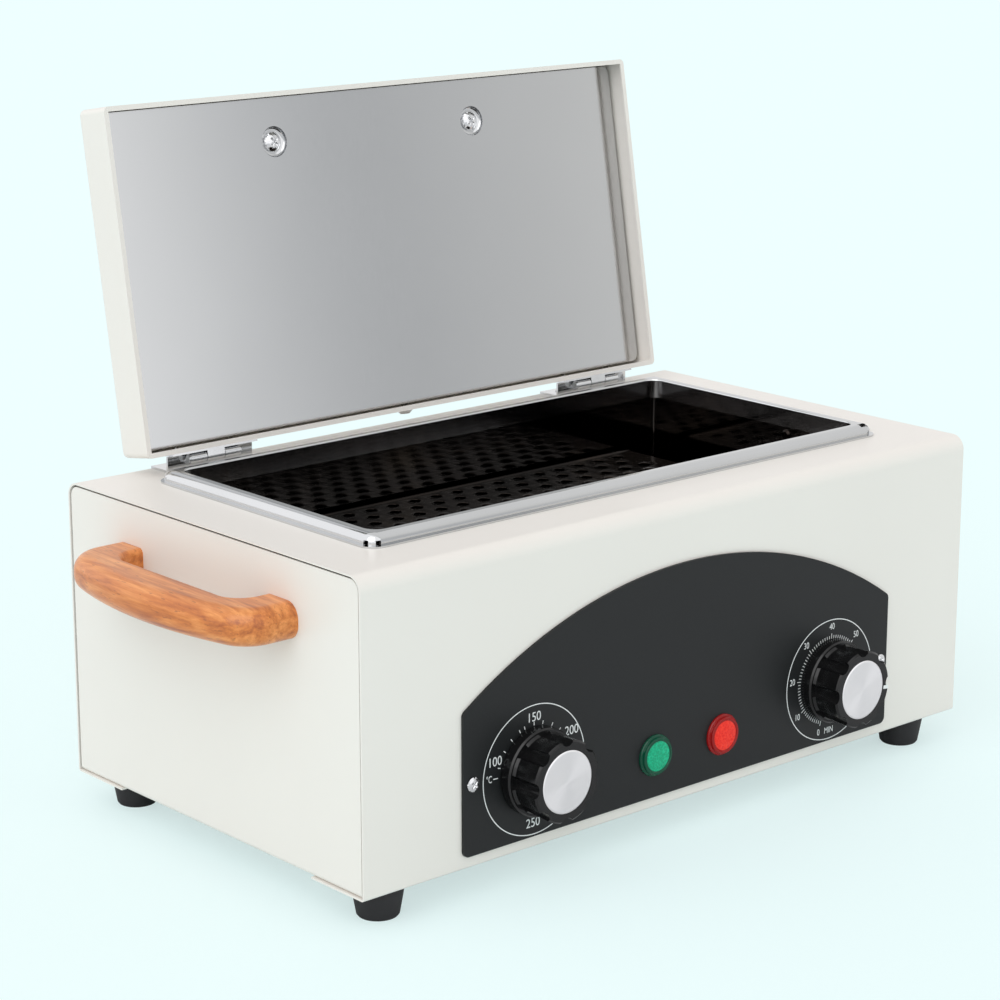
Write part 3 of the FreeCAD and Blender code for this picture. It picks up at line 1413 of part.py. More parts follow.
def make_hinges():
    """Two butt hinges: base leaf on the housing, lid leaf on the lid's rear wall, pin."""
    base, lid = [], []
    for side, x in (("left", "-hinge_x"), ("right", "hinge_x")):
        base.append(make_base_leaf("hinge_base_" + side, x))
        lid.append(make_lid_leaf("hinge_leaf_" + side, x))

    pins = turned("hinge_pins", "XZ_Plane", ("hinge_x", "hinge_y", "hinge_z"), [
        ("pin_head_radius", "-(knuckle_length / 2 + pin_head_height)"),
        ("pin_head_radius", "-(knuckle_length / 2)"),
        ("pin_radius", "-(knuckle_length / 2)"),
        ("pin_radius", "knuckle_length / 2"),
        ("pin_head_radius", "knuckle_length / 2"),
        ("pin_head_radius", "knuckle_length / 2 + pin_head_height"),
        ("0", "knuckle_length / 2 + pin_head_height"),
        ("0", "-(knuckle_length / 2 + pin_head_height)"),
    ], axis="H_Axis")
    mirror_left(pins, pins.Tip)

    screws = turned("hinge_base_screws", "XZ_Plane",
                    ("hinge_x - hinge_screw_x", "base_screw_y", "body_height + hinge_leaf"),
                    screw_outline("tapper_head_radius", "tapper_head_height",
                                  "tapper_radius", "tapper_length"))
    repeat(screws, [screws.Tip], ("X_Axis", "2 * hinge_screw_x", "2"), "mirror")
    return base + [pins, screws], lid


def make_base_leaf(label, x):
    """Foot, stop web and two knuckles; the web's top edge stops the open lid."""
    body = add_body(label)
    fold = add_sketch(body, "fold", "YZ_Plane", (x, "0", "0"))
    foot_top = "body_height + hinge_leaf"
    add_polygon(fold, [
        ("web_front", "body_height"),
        ("web_back + base_leaf_depth", "body_height"),
        ("web_back + base_leaf_depth", foot_top),
        ("web_back", foot_top),
        ("web_back", "web_top"),
        ("web_front", "web_top"),
    ])
    pad(body, "leaf", fold, "hinge_length", both_ways=True)

    arm = add_sketch(body, "arm_outline", "YZ_Plane", (x, "0", "0"))
    add_rectangle(arm, "hinge_y", "web_front + hinge_leaf / 2",
                  "hinge_z - knuckle_radius", "hinge_z")
    pad(body, "arms", arm, "knuckle_length", both_ways=True)
    barrel = add_sketch(body, "barrel_outline", "YZ_Plane", (x, "hinge_y", "hinge_z"))
    add_circle(barrel, "0", "0", "knuckle_radius")
    pad(body, "barrel", barrel, "knuckle_length", both_ways=True)
    slot = add_sketch(body, "slot_outline", "YZ_Plane", (x, "0", "0"))
    add_rectangle(slot, "hinge_y - 2 * knuckle_radius", "web_front",
                  "hinge_z - 2 * knuckle_radius", "hinge_z + 2 * knuckle_radius")
    pocket(body, "slot", slot, "knuckle_middle + 2 * knuckle_play", both_ways=True)
    bore = add_sketch(body, "bore_outline", "YZ_Plane", (x, "hinge_y", "hinge_z"))
    add_circle(bore, "0", "0", "pin_radius")
    pocket(body, "bore", bore, "2 * knuckle_length", both_ways=True)

    holes = add_sketch(body, "hole_outlines", "XY_Plane", (x, "0", foot_top))
    for end in ("", "-"):
        add_circle(holes, end + "hinge_screw_x", "base_screw_y", "tapper_hole")
    pocket(body, "screw_holes", holes, "2 * hinge_leaf")
    return body


def make_lid_leaf(label, x):
    """Upright leaf with the middle knuckle, flat on the lid's rear wall."""
    body = add_body(label)
    low = "hinge_z - knuckle_radius"
    leaf = add_sketch(body, "leaf_outline", "XZ_Plane", (x, "lid_rear", "0"))
    half = "hinge_length / 2"
    add_rectangle(leaf, "-(%s)" % half, half, low, low + " + hinge_leaf_height")
    pad(body, "leaf", leaf, "hinge_leaf", reverse=True)

    arm = add_sketch(body, "arm_outline", "YZ_Plane", (x, "0", "0"))
    add_rectangle(arm, "lid_rear + hinge_leaf / 2", "hinge_y", low, "hinge_z")
    pad(body, "arm", arm, "knuckle_middle", both_ways=True)
    barrel = add_sketch(body, "barrel_outline", "YZ_Plane", (x, "hinge_y", "hinge_z"))
    add_circle(barrel, "0", "0", "knuckle_radius")
    pad(body, "barrel", barrel, "knuckle_middle", both_ways=True)
    bore = add_sketch(body, "bore_outline", "YZ_Plane", (x, "hinge_y", "hinge_z"))
    add_circle(bore, "0", "0", "pin_radius + pin_fit")
    pocket(body, "bore", bore, "2 * knuckle_length", both_ways=True)

    holes = add_sketch(body, "hole_outlines", "XZ_Plane", (x, "leaf_back", "0"))
    for end in ("", "-"):
        add_circle(holes, end + "hinge_screw_x", "lid_leaf_screw_z", "tapper_hole")
    pocket(body, "screw_holes", holes, "2 * hinge_leaf", reverse=True)
    return body


# Assembly

fixed = [make_housing_wrap(), make_chassis()]
fixed += make_feet()
fixed += make_floor_fasteners()
fixed += [make_rim(), make_chamber(), make_tray()]
fixed += make_heating()
fixed.append(make_bulb())
fixed += make_bulb_clips()
fixed += [make_control_panel(), make_panel_screws()]
fixed += make_controls()
fixed += make_lamps()
fixed += make_mains_entry()
fixed += make_handles()
base_hinges, lid_hinges = make_hinges()
fixed += base_hinges
swung = [make_lid_shell(), make_lid_liner(), make_lid_filling(), make_lid_handle()]
swung += make_lid_fasteners()
swung += lid_hinges


def stand(piece):
    """Puts a fixed piece on the feet, with the whole object centred in depth."""
    piece.Placement = FreeCAD.Placement()
    piece.setExpression("Placement.Base.y", expr("stand_y"))
    piece.setExpression("Placement.Base.z", expr("foot_height"))


def swing(piece):
    """Does the same for a piece of the lid, swung open about the hinge."""
    piece.Placement = FreeCAD.Placement(FreeCAD.Vector(), FreeCAD.Rotation(ALONG_X, -1))
    turned_y = "hinge_y * cos(open_angle) + hinge_z * sin(open_angle)"
    turned_z = "hinge_z * cos(open_angle) - hinge_y * sin(open_angle)"
    piece.setExpression("Placement.Rotation.Angle", expr("-open_angle"))
    piece.setExpression("Placement.Base.y", expr("stand_y + hinge_y - (%s)" % turned_y))
    piece.setExpression("Placement.Base.z", expr("foot_height + hinge_z - (%s)" % turned_z))


for piece in fixed:
    stand(piece)
for piece in swung:
    swing(piece)
doc.recompute()

# Checks, and one file for each piece

for item in doc.Objects:
    if "Invalid" in item.State or "Error" in item.State:
        raise RuntimeError("%s failed: %s" % (item.Label, item.State))

os.makedirs("parts", exist_ok=True)
for piece in fixed + swung:
    shape = piece.Shape
    if shape.isNull() or not shape.isValid() or not shape.Solids:
        raise RuntimeError("%s has no valid solid" % piece.Label)
    shape.exportStep(os.path.join("parts", piece.Label + ".step"))
print("%d pieces written" % len(fixed + swung))
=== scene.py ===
# %% [markdown]
# This lesson dresses a CAD model of a benchtop dry-heat sterilizer: a cream steel box with
# a hinged lid, a polished chamber inside, wooden handles and a dark control panel.
# The CAD model comes in first as a fixed frame. Its pieces keep their size and place, and
# each gets a finish. Small things that the CAD model leaves plain are modelled here.

# %% Load the frame
import json
import math

import bmesh
import bpy
from mathutils import Matrix, Vector


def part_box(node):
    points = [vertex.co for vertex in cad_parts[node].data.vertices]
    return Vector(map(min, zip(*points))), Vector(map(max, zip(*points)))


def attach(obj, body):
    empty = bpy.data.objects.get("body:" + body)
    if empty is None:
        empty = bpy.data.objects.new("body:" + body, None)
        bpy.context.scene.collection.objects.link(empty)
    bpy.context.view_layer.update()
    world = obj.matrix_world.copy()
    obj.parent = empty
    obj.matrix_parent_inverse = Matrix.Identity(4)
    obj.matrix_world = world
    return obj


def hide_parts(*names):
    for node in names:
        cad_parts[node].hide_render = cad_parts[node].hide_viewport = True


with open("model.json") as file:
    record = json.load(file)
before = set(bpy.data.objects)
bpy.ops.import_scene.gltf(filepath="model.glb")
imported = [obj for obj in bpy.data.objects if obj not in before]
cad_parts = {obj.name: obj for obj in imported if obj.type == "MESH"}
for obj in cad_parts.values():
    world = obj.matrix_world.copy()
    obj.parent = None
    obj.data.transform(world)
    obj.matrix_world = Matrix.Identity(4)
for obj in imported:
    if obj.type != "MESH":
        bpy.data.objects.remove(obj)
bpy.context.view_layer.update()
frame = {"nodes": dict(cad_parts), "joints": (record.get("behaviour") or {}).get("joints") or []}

MM = 0.001

# %% [markdown]
# A piece is placed by what carries it, so the places that matter are read from the frame:
# the housing's front face, its underside, the panel's face and the hinge. The lid stands
# open, so pieces on it are worked out with the lid shut and then swung open.

# %% Places read from the frame
wrap_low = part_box("housing_wrap")[0]
PANEL_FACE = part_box("control_panel")[0].y
hinge = next(joint for joint in frame["joints"] if joint["name"] == "lid_hinge")
HINGE_POINT = Vector(hinge["pos_m"])
OPEN_ANGLE = math.radians(hinge["range_deg"][1])
swing_open = (
    Matrix.Translation(HINGE_POINT)
    @ Matrix.Rotation(-OPEN_ANGLE, 4, "X")
    @ Matrix.Translation(-HINGE_POINT)
)
swing_shut = swing_open.inverted()

print("Panel face at y = %.4f m, lid opens %.1f degrees" % (PANEL_FACE, math.degrees(OPEN_ANGLE)))

# %% [markdown]
# The photograph is taken from the front left, a little above, with a long lens. The
# camera stands at that place, measured from the middle of the housing's lower front edge.

# %% Camera
CAMERA_OFFSET = Vector((-830.6, -820.4, 436.7)) * MM
CAMERA_TURN = 41.37
CAMERA_DIP = 14.56
CAMERA_LENS = 101.9

bpy.ops.object.camera_add(location=Vector((0, wrap_low.y, wrap_low.z)) + CAMERA_OFFSET)
camera = bpy.context.object
camera.name = "photo_camera"
camera.rotation_euler = (math.radians(90 - CAMERA_DIP), 0, math.radians(-CAMERA_TURN))
camera.data.lens = CAMERA_LENS
camera.data.sensor_width = 36
bpy.context.scene.camera = camera
bpy.context.scene.view_settings.view_transform = "Standard"
print("Camera at", [round(place, 3) for place in camera.location])

# %% [markdown]
# Colours are written as they would be picked on a screen, which is sRGB. Blender works in
# linear light, so one function turns a hex colour to linear. One more adds a node with
# its settings, numbers and links, and every material below is built with these two.

# %% Helpers for colours and nodes


def linear(code, alpha=1.0):
    """A hex sRGB colour such as #C8A070 as linear red, green, blue and alpha."""
    shades = [int(code[start:start + 2], 16) / 255 for start in (1, 3, 5)]
    curve = [s / 12.92 if s <= 0.04045 else ((s + 0.055) / 1.055) ** 2.4 for s in shades]
    return (*curve, alpha)


def add_node(tree, kind, inputs=None, **settings):
    """A new node. Inputs are numbers, colours or the sockets of other nodes."""
    node = tree.nodes.new(kind)
    for name, setting in settings.items():
        setattr(node, name, setting)
    for name, value in (inputs or {}).items():
        if isinstance(value, bpy.types.NodeSocket):
            tree.links.new(value, node.inputs[name])
        else:
            node.inputs[name].default_value = value
    return node


def fill_ramp(node, stops):
    """Gives a colour ramp its stops: pairs of a place from 0 to 1 and a colour."""
    ramp = node.color_ramp
    while len(ramp.elements) < len(stops):
        ramp.elements.new(1.0)
    for element, (place, colour) in zip(ramp.elements, stops):
        element.position = place
        element.color = colour


def new_finish(name, **sockets):
    """A material, its node tree and its main shader with plain values set on it."""
    material = bpy.data.materials.new(name)
    material.use_nodes = True
    shader = material.node_tree.nodes["Principled BSDF"]
    for socket, value in sockets.items():
        shader.inputs[socket.replace("_", " ")].default_value = value
    return material, material.node_tree, shader


# %% [markdown]
# The studio is plain: a pale floor without an edge, an even world light and one broad soft
# lamp from the upper left. Polished metal shows the room around it, so the world is a
# different picture for reflections: a bright room with one darker stretch to the front
# right, which gives the lid's liner its soft grey band. The floor glows a little
# to the camera, so its shadow stays pale. Reflections see it without that glow and in a
# neutral grey, so bright metal and black plastic keep some contrast against the room.

# %% World, lamp and floor
ROOM_COLOUR = linear("#EEFFFF")
AMBIENT = 0.80
GLOSSY_ROOM = 1.35
ROOM_SPAN = (20, 60)
LAMP_STRENGTH = 0.95
LAMP_TURN = (18, -42)
LAMP_SPREAD = 60
FLOOR_SIZE = 60
FLOOR_GLOW = 0.6
FLOOR_MIRRORED = "#E4E6E8"

world = bpy.data.worlds.new("studio")
bpy.context.scene.world = world
world.use_nodes = True
sky = world.node_tree
sky.nodes.clear()
rays = add_node(sky, "ShaderNodeLightPath")
heading = add_node(sky, "ShaderNodeTexCoord")
parts = add_node(sky, "ShaderNodeSeparateXYZ", {"Vector": heading.outputs["Generated"]})
behind = add_node(sky, "ShaderNodeMath", {0: parts.outputs["Y"], 1: -1.0}, operation="MULTIPLY")
azimuth = add_node(sky, "ShaderNodeMath", {0: parts.outputs["X"], 1: behind.outputs[0]},
                   operation="ARCTAN2")
share = add_node(sky, "ShaderNodeMapRange", {
    "Value": azimuth.outputs[0], "From Min": math.radians(ROOM_SPAN[0]),
    "From Max": math.radians(ROOM_SPAN[1]),
})
room = add_node(sky, "ShaderNodeValToRGB", {"Fac": share.outputs["Result"]})
fill_ramp(room, [
    (0.0, (0.96, 0.96, 0.97, 1)),
    (0.28, (1.0, 1.0, 1.0, 1)),
    (0.45, (0.42, 0.43, 0.44, 1)),
    (0.62, (0.66, 0.66, 0.65, 1)),
    (1.0, (0.68, 0.68, 0.68, 1)),
])
even_light = add_node(sky, "ShaderNodeBackground", {"Color": (1, 1, 1, 1), "Strength": AMBIENT})
room_light = add_node(sky, "ShaderNodeBackground", {"Color": room.outputs["Color"],
                                                    "Strength": GLOSSY_ROOM})
backdrop = add_node(sky, "ShaderNodeBackground", {"Color": ROOM_COLOUR, "Strength": 1.0})
with_room = add_node(sky, "ShaderNodeMixShader", {
    0: rays.outputs["Is Glossy Ray"], 1: even_light.outputs[0], 2: room_light.outputs[0],
})
with_backdrop = add_node(sky, "ShaderNodeMixShader", {
    0: rays.outputs["Is Camera Ray"], 1: with_room.outputs[0], 2: backdrop.outputs[0],
})
add_node(sky, "ShaderNodeOutputWorld", {"Surface": with_backdrop.outputs[0]})

bpy.ops.object.light_add(type="SUN", rotation=(math.radians(LAMP_TURN[0]),
                                               math.radians(LAMP_TURN[1]), 0))
lamp = bpy.context.object
lamp.name = "soft_lamp"
lamp.data.energy = LAMP_STRENGTH
lamp.data.angle = math.radians(LAMP_SPREAD)

bpy.ops.mesh.primitive_plane_add(size=FLOOR_SIZE, location=(0, 0, 0))
floor = bpy.context.object
floor.name = "floor"
floor_finish, sheet, floor_shader = new_finish("pale_floor", Base_Color=ROOM_COLOUR,
                                               Roughness=1.0, Specular_IOR_Level=0.0)
floor_rays = add_node(sheet, "ShaderNodeLightPath")
glow = add_node(sheet, "ShaderNodeEmission", {"Color": ROOM_COLOUR, "Strength": 1.0})
glow_share = add_node(sheet, "ShaderNodeMath", {
    0: floor_rays.outputs["Is Camera Ray"], 1: FLOOR_GLOW,
}, operation="MULTIPLY")
seen = add_node(sheet, "ShaderNodeMixShader", {
    0: glow_share.outputs[0], 1: floor_shader.outputs[0], 2: glow.outputs[0],
})
mirrored = add_node(sheet, "ShaderNodeBsdfDiffuse", {"Color": linear(FLOOR_MIRRORED)})
whole_floor = add_node(sheet, "ShaderNodeMixShader", {
    0: floor_rays.outputs["Is Glossy Ray"], 1: seen.outputs[0], 2: mirrored.outputs[0],
})
sheet.links.new(whole_floor.outputs[0], sheet.nodes["Material Output"].inputs["Surface"])
floor.data.materials.append(floor_finish)
print("World strength %.2f, lamp strength %.2f" % (AMBIENT, LAMP_STRENGTH))

# %% [markdown]
# The housing and the lid are mild steel with a baked powder coat. The powder melts into a
# skin with a faint orange-peel ripple, about a millimetre across, and a soft shine. A
# noise texture at that scale drives a weak bump, and a larger one shifts the tone a little.

# %% Powder-coated steel


def powder_coat():
    material, tree, shader = new_finish("cream_powder_coat", Roughness=0.32)
    place = add_node(tree, "ShaderNodeTexCoord")
    clouds = add_node(tree, "ShaderNodeTexNoise", {
        "Vector": place.outputs["Object"], "Scale": 9.0, "Detail": 3.0,
    })
    tone = add_node(tree, "ShaderNodeMix", {
        0: clouds.outputs["Fac"], 6: linear("#E9E4DE"), 7: linear("#EEEAE4"),
    }, data_type="RGBA")
    tree.links.new(tone.outputs[2], shader.inputs["Base Color"])
    ripple = add_node(tree, "ShaderNodeTexNoise", {
        "Vector": place.outputs["Object"], "Scale": 1 / (1.1 * MM), "Detail": 1.0,
    })
    bump = add_node(tree, "ShaderNodeBump", {
        "Height": ripple.outputs["Fac"], "Strength": 0.12, "Distance": 0.05 * MM,
    })
    tree.links.new(bump.outputs["Normal"], shader.inputs["Normal"])
    return material


cream_paint = powder_coat()

# %% [markdown]
# The rim is stainless steel buffed bright, so it mirrors the room with hair-fine buffing
# lines. The liner in the lid is the same steel as it comes bright from the mill, rolled in
# one direction. It is wide and flat, so the room's bright and dark stretches show in it as
# one soft gradient.

# %% Bright stainless steel


def stainless(name, colour, roughness, line_width, stretch, spread):
    """Metal whose roughness varies in fine lines that run along one direction."""
    material, tree, shader = new_finish(name, Metallic=1.0)
    place = add_node(tree, "ShaderNodeTexCoord")
    lay = add_node(tree, "ShaderNodeMapping", {
        "Vector": place.outputs["Object"], "Scale": stretch,
    })
    lines = add_node(tree, "ShaderNodeTexNoise", {
        "Vector": lay.outputs["Vector"], "Scale": 1 / line_width, "Detail": 2.0,
    })
    gloss = add_node(tree, "ShaderNodeMapRange", {
        "Value": lines.outputs["Fac"], "To Min": roughness - spread, "To Max": roughness + spread,
    })
    tree.links.new(gloss.outputs["Result"], shader.inputs["Roughness"])
    clouds = add_node(tree, "ShaderNodeTexNoise", {
        "Vector": place.outputs["Object"], "Scale": 14.0, "Detail": 2.0,
    })
    tone = add_node(tree, "ShaderNodeMix", {
        0: clouds.outputs["Fac"], 6: linear(colour[0]), 7: linear(colour[1]),
    }, data_type="RGBA")
    tree.links.new(tone.outputs[2], shader.inputs["Base Color"])
    return material


bright_steel = stainless("buffed_stainless", ("#C6C7C8", "#D2D3D4"), 0.10, 0.6 * MM,
                         (0.05, 1, 1), 0.04)
liner_steel = stainless("mill_stainless", ("#C8C9CA", "#CECFD0"), 0.11, 0.8 * MM,
                        (1, 1, 0.03), 0.02)

# %% [markdown]
# The chamber and its tray are polished too, but deep inside the box they mirror mostly
# each other, and heat has tinted them brown. They read nearly black, and that darkness is
# painted shade: their colours are dark greys and browns far below bright steel, the tray
# darker than the walls. The walls mirror the tray's holes. The thin walls buckle a little, by
# parts of a millimetre over the width of a hand, so what they mirror wavers. The tray is
# duller.

# %% Heat-tinted steel darkened with painted shade


def heat_tint_and_painted_shade_steel(name, tints_and_painted_shade, roughness, buckle):
    """Polished steel darkened with painted shade, with heat-tinted patches and walls that waver
    by a height.
    """
    material, tree, shader = new_finish(name, Metallic=1.0)
    place = add_node(tree, "ShaderNodeTexCoord")
    patches = add_node(tree, "ShaderNodeTexNoise", {
        "Vector": place.outputs["Object"], "Scale": 1 / (45 * MM), "Detail": 4.0,
        "Distortion": 0.6,
    })
    tint = add_node(tree, "ShaderNodeValToRGB", {"Fac": patches.outputs["Fac"]})
    fill_ramp(tint, [(0.35, linear(tints_and_painted_shade[0])), (0.55, linear(tints_and_painted_shade[1])),
                     (0.72, linear(tints_and_painted_shade[2]))])
    tree.links.new(tint.outputs["Color"], shader.inputs["Base Color"])
    gloss = add_node(tree, "ShaderNodeMapRange", {
        "Value": patches.outputs["Fac"], "To Min": roughness[0], "To Max": roughness[1],
    })
    tree.links.new(gloss.outputs["Result"], shader.inputs["Roughness"])
    waves = add_node(tree, "ShaderNodeTexNoise", {
        "Vector": place.outputs["Object"], "Scale": 1 / (60 * MM), "Detail": 1.0,
    })
    bump = add_node(tree, "ShaderNodeBump", {
        "Height": waves.outputs["Fac"], "Strength": 1.0, "Distance": buckle,
    })
    tree.links.new(bump.outputs["Normal"], shader.inputs["Normal"])
    return material


# Painted shade: these colours are far darker than bright steel, standing in for the shade deep in
# the box; the brown is heat tint.
chamber_steel = heat_tint_and_painted_shade_steel("heat_tinted_stainless_painted_shade", ("#504E4C", "#5C5856", "#70685F"),
                             (0.04, 0.09), 0.5 * MM)
tray_steel = heat_tint_and_painted_shade_steel("heat_browned_stainless_painted_shade", ("#1E1B19", "#2A2522", "#40372F"),
                          (0.14, 0.24), 0.3 * MM)

# %% [markdown]
# The bow handles are beech, turned and sanded, under a clear varnish. Beech has a fine,
# nearly straight grain with short dark flecks, the rays. Stretching a noise along the
# handle gives the grain, and a second, shorter one the flecks. The side handles run along
# Y and the lid's handle along X, so the stretch is turned with the handle.

# %% Varnished beech
GRAIN_WIDTH = 0.9 * MM
FLECK_WIDTH = 0.45 * MM


def beech(name, run):
    """Beech whose grain runs along the axis named run."""
    material, tree, shader = new_finish(name, Roughness=0.36, Coat_Weight=0.35,
                                        Coat_Roughness=0.10)
    place = add_node(tree, "ShaderNodeTexCoord")
    along = {"x": (0.07, 1, 1), "y": (1, 0.07, 1)}[run]
    grain_lay = add_node(tree, "ShaderNodeMapping", {
        "Vector": place.outputs["Object"], "Scale": along,
    })
    grain = add_node(tree, "ShaderNodeTexNoise", {
        "Vector": grain_lay.outputs["Vector"], "Scale": 1 / GRAIN_WIDTH / 4,
        "Detail": 5.0, "Roughness": 0.62, "Distortion": 0.2,
    })
    tone = add_node(tree, "ShaderNodeValToRGB", {"Fac": grain.outputs["Fac"]})
    fill_ramp(tone, [
        (0.30, linear("#A45321")),
        (0.48, linear("#CE7833")),
        (0.68, linear("#EC9C55")),
    ])
    short = {"x": (0.16, 1, 1), "y": (1, 0.16, 1)}[run]
    fleck_lay = add_node(tree, "ShaderNodeMapping", {
        "Vector": place.outputs["Object"], "Scale": short,
    })
    flecks = add_node(tree, "ShaderNodeTexNoise", {
        "Vector": fleck_lay.outputs["Vector"], "Scale": 1 / FLECK_WIDTH / 2, "Detail": 1.0,
    })
    fleck_mask = add_node(tree, "ShaderNodeMapRange", {
        "Value": flecks.outputs["Fac"], "From Min": 0.66, "From Max": 0.74, "To Max": 0.55,
    })
    colour = add_node(tree, "ShaderNodeMix", {
        0: fleck_mask.outputs["Result"], 6: tone.outputs["Color"], 7: linear("#8A4A24"),
    }, data_type="RGBA")
    tree.links.new(colour.outputs[2], shader.inputs["Base Color"])
    bump = add_node(tree, "ShaderNodeBump", {
        "Height": grain.outputs["Fac"], "Strength": 0.15, "Distance": 0.1 * MM,
    })
    tree.links.new(bump.outputs["Normal"], shader.inputs["Normal"])
    return material


side_beech = beech("varnished_beech_side", "y")
lid_beech = beech("varnished_beech_lid", "x")

# %% [markdown]
# Most other finishes are a base colour with a slight, fine-grained variation: moulded
# plastics, rubber, plated steel, the printed panel. One function makes them all, given
# the two shades, the roughness and the grain of the surface.

# %% Moulded, plated and printed finishes


def grained(name, shades, roughness, grain, bump_depth=0.0, **sockets):
    """A finish that wavers between two shades, with a bump of the same grain."""
    material, tree, shader = new_finish(name, Roughness=roughness, **sockets)
    place = add_node(tree, "ShaderNodeTexCoord")
    noise = add_node(tree, "ShaderNodeTexNoise", {
        "Vector": place.outputs["Object"], "Scale": 1 / grain, "Detail": 2.0,
    })
    tone = add_node(tree, "ShaderNodeMix", {
        0: noise.outputs["Fac"], 6: linear(shades[0]), 7: linear(shades[1]),
    }, data_type="RGBA")
    tree.links.new(tone.outputs[2], shader.inputs["Base Color"])
    if bump_depth:
        bump = add_node(tree, "ShaderNodeBump", {
            "Height": noise.outputs["Fac"], "Strength": 0.3, "Distance": bump_depth,
        })
        tree.links.new(bump.outputs["Normal"], shader.inputs["Normal"])
    return material


panel_lacquer = grained("printed_panel_lacquer", ("#1A1C1D", "#202223"), 0.42, 0.5 * MM,
                        0.02 * MM, Specular_IOR_Level=0.28)
white_print = grained("screen_print_white", ("#E4E6E6", "#EEF0F0"), 0.5, 0.4 * MM)
black_abs = grained("moulded_black_abs", ("#0B0B0C", "#111112"), 0.20, 0.8 * MM, 0.02 * MM,
                    Specular_IOR_Level=0.4)
rubber = grained("moulded_black_rubber", ("#19191B", "#222225"), 0.6, 0.6 * MM, 0.05 * MM)
chrome = grained("chrome_plate", ("#D6D7D9", "#E2E3E4"), 0.09, 2.0 * MM, Metallic=1.0)
zinc = grained("zinc_plate", ("#B9BBBC", "#CCCECE"), 0.3, 1.5 * MM, Metallic=1.0)
nylon = grained("moulded_white_nylon", ("#D8D5CA", "#E2DFD5"), 0.5, 0.7 * MM, 0.03 * MM)
dark_nylon = grained("moulded_dark_nylon", ("#1C1C1E", "#252528"), 0.45, 0.7 * MM, 0.03 * MM)
wool = grained("mineral_wool", ("#C9C4B4", "#E2DECF"), 0.95, 2.5 * MM, 0.8 * MM)
brass = grained("turned_brass", ("#B98B3E", "#CDA052"), 0.28, 0.6 * MM, Metallic=1.0)
copper = grained("drawn_copper", ("#B26A45", "#C67E57"), 0.3, 0.8 * MM, Metallic=1.0)
plate_aluminium = grained("cast_aluminium", ("#A9ABAD", "#BCBEC0"), 0.45, 1.2 * MM,
                          0.05 * MM, Metallic=1.0)

# %% [markdown]
# The lamps are tinted acrylic. The window in the middle is moulded with pebbles a
# millimetre across, which break the light into bright and dark grains. Here these grains are
# painted light and shade: each pebble's colour runs from dark in its middle to bright towards
# its edge, over a bump of the same pebbles. The bezel round it is smooth and looks deeper,
# because one sees into the thick wall. The distance from the lamp's own axis says which is
# which.

# %% Pebbled acrylic
PEBBLE = 0.95 * MM
WINDOW_RADIUS = 6.7 * MM


def lamp_acrylic(name, node, pebble_light_and_shade, bezel):
    """Acrylic with a pebbled window round the axis of a lamp's node, its two shades painted light
    and shade on each pebble.
    """
    material, tree, shader = new_finish(name, Roughness=0.12, Specular_IOR_Level=0.3)
    low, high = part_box(node)
    middle = (low + high) / 2
    place = add_node(tree, "ShaderNodeTexCoord")
    flat = add_node(tree, "ShaderNodeMapping", {
        "Vector": place.outputs["Object"], "Location": (-middle.x, 0, -middle.z),
        "Scale": (1, 0, 1),
    })
    reach = add_node(tree, "ShaderNodeVectorMath", {0: flat.outputs["Vector"]},
                     operation="LENGTH")
    window = add_node(tree, "ShaderNodeMapRange", {
        "Value": reach.outputs["Value"], "From Min": WINDOW_RADIUS + 0.2 * MM,
        "From Max": WINDOW_RADIUS - 0.2 * MM,
    })
    grains = add_node(tree, "ShaderNodeTexVoronoi", {
        "Vector": place.outputs["Object"], "Scale": 1 / PEBBLE,
    })
    # Painted light and shade: each pebble is darker in its middle and brighter towards its edge.
    pebble = add_node(tree, "ShaderNodeMix", {
        0: grains.outputs["Distance"], 6: linear(pebble_light_and_shade[0]), 7: linear(pebble_light_and_shade[1]),
    }, data_type="RGBA")
    tone = add_node(tree, "ShaderNodeMix", {
        0: window.outputs["Result"], 6: linear(bezel), 7: pebble.outputs[2],
    }, data_type="RGBA")
    tree.links.new(tone.outputs[2], shader.inputs["Base Color"])
    height = add_node(tree, "ShaderNodeMath", {
        0: grains.outputs["Distance"], 1: window.outputs["Result"],
    }, operation="MULTIPLY")
    bump = add_node(tree, "ShaderNodeBump", {
        "Height": height.outputs[0], "Strength": 0.5, "Distance": 0.25 * MM,
    })
    tree.links.new(bump.outputs["Normal"], shader.inputs["Normal"])
    return material


green_lens = lamp_acrylic("green_acrylic", "lamp_lens_green", ("#008F66", "#12C492"),
                          "#054A35")
red_lens = lamp_acrylic("red_acrylic", "lamp_lens_red", ("#E81207", "#FF3E2A"), "#96100F")

# %% [markdown]
# The knobs' caps are aluminium faced on a lathe. The tool leaves rings too fine to see, and
# they pull every highlight into a bow tie that stays with the light. Anisotropic
# reflection with a tangent that runs round the cap's own axis gives just that.

# %% Spun aluminium


def spun_aluminium():
    material, tree, shader = new_finish("spun_aluminium", Metallic=1.0, Roughness=0.3,
                                        Anisotropic=0.9, Base_Color=linear("#F0F0F1"))
    direction = add_node(tree, "ShaderNodeTangent", direction_type="RADIAL", axis="Y")
    tree.links.new(direction.outputs["Tangent"], shader.inputs["Tangent"])
    return material


spun_cap = spun_aluminium()

# %% [markdown]
# Every CAD piece now gets its finish. The table reads as a parts list: the finish first,
# and then the pieces that have it.

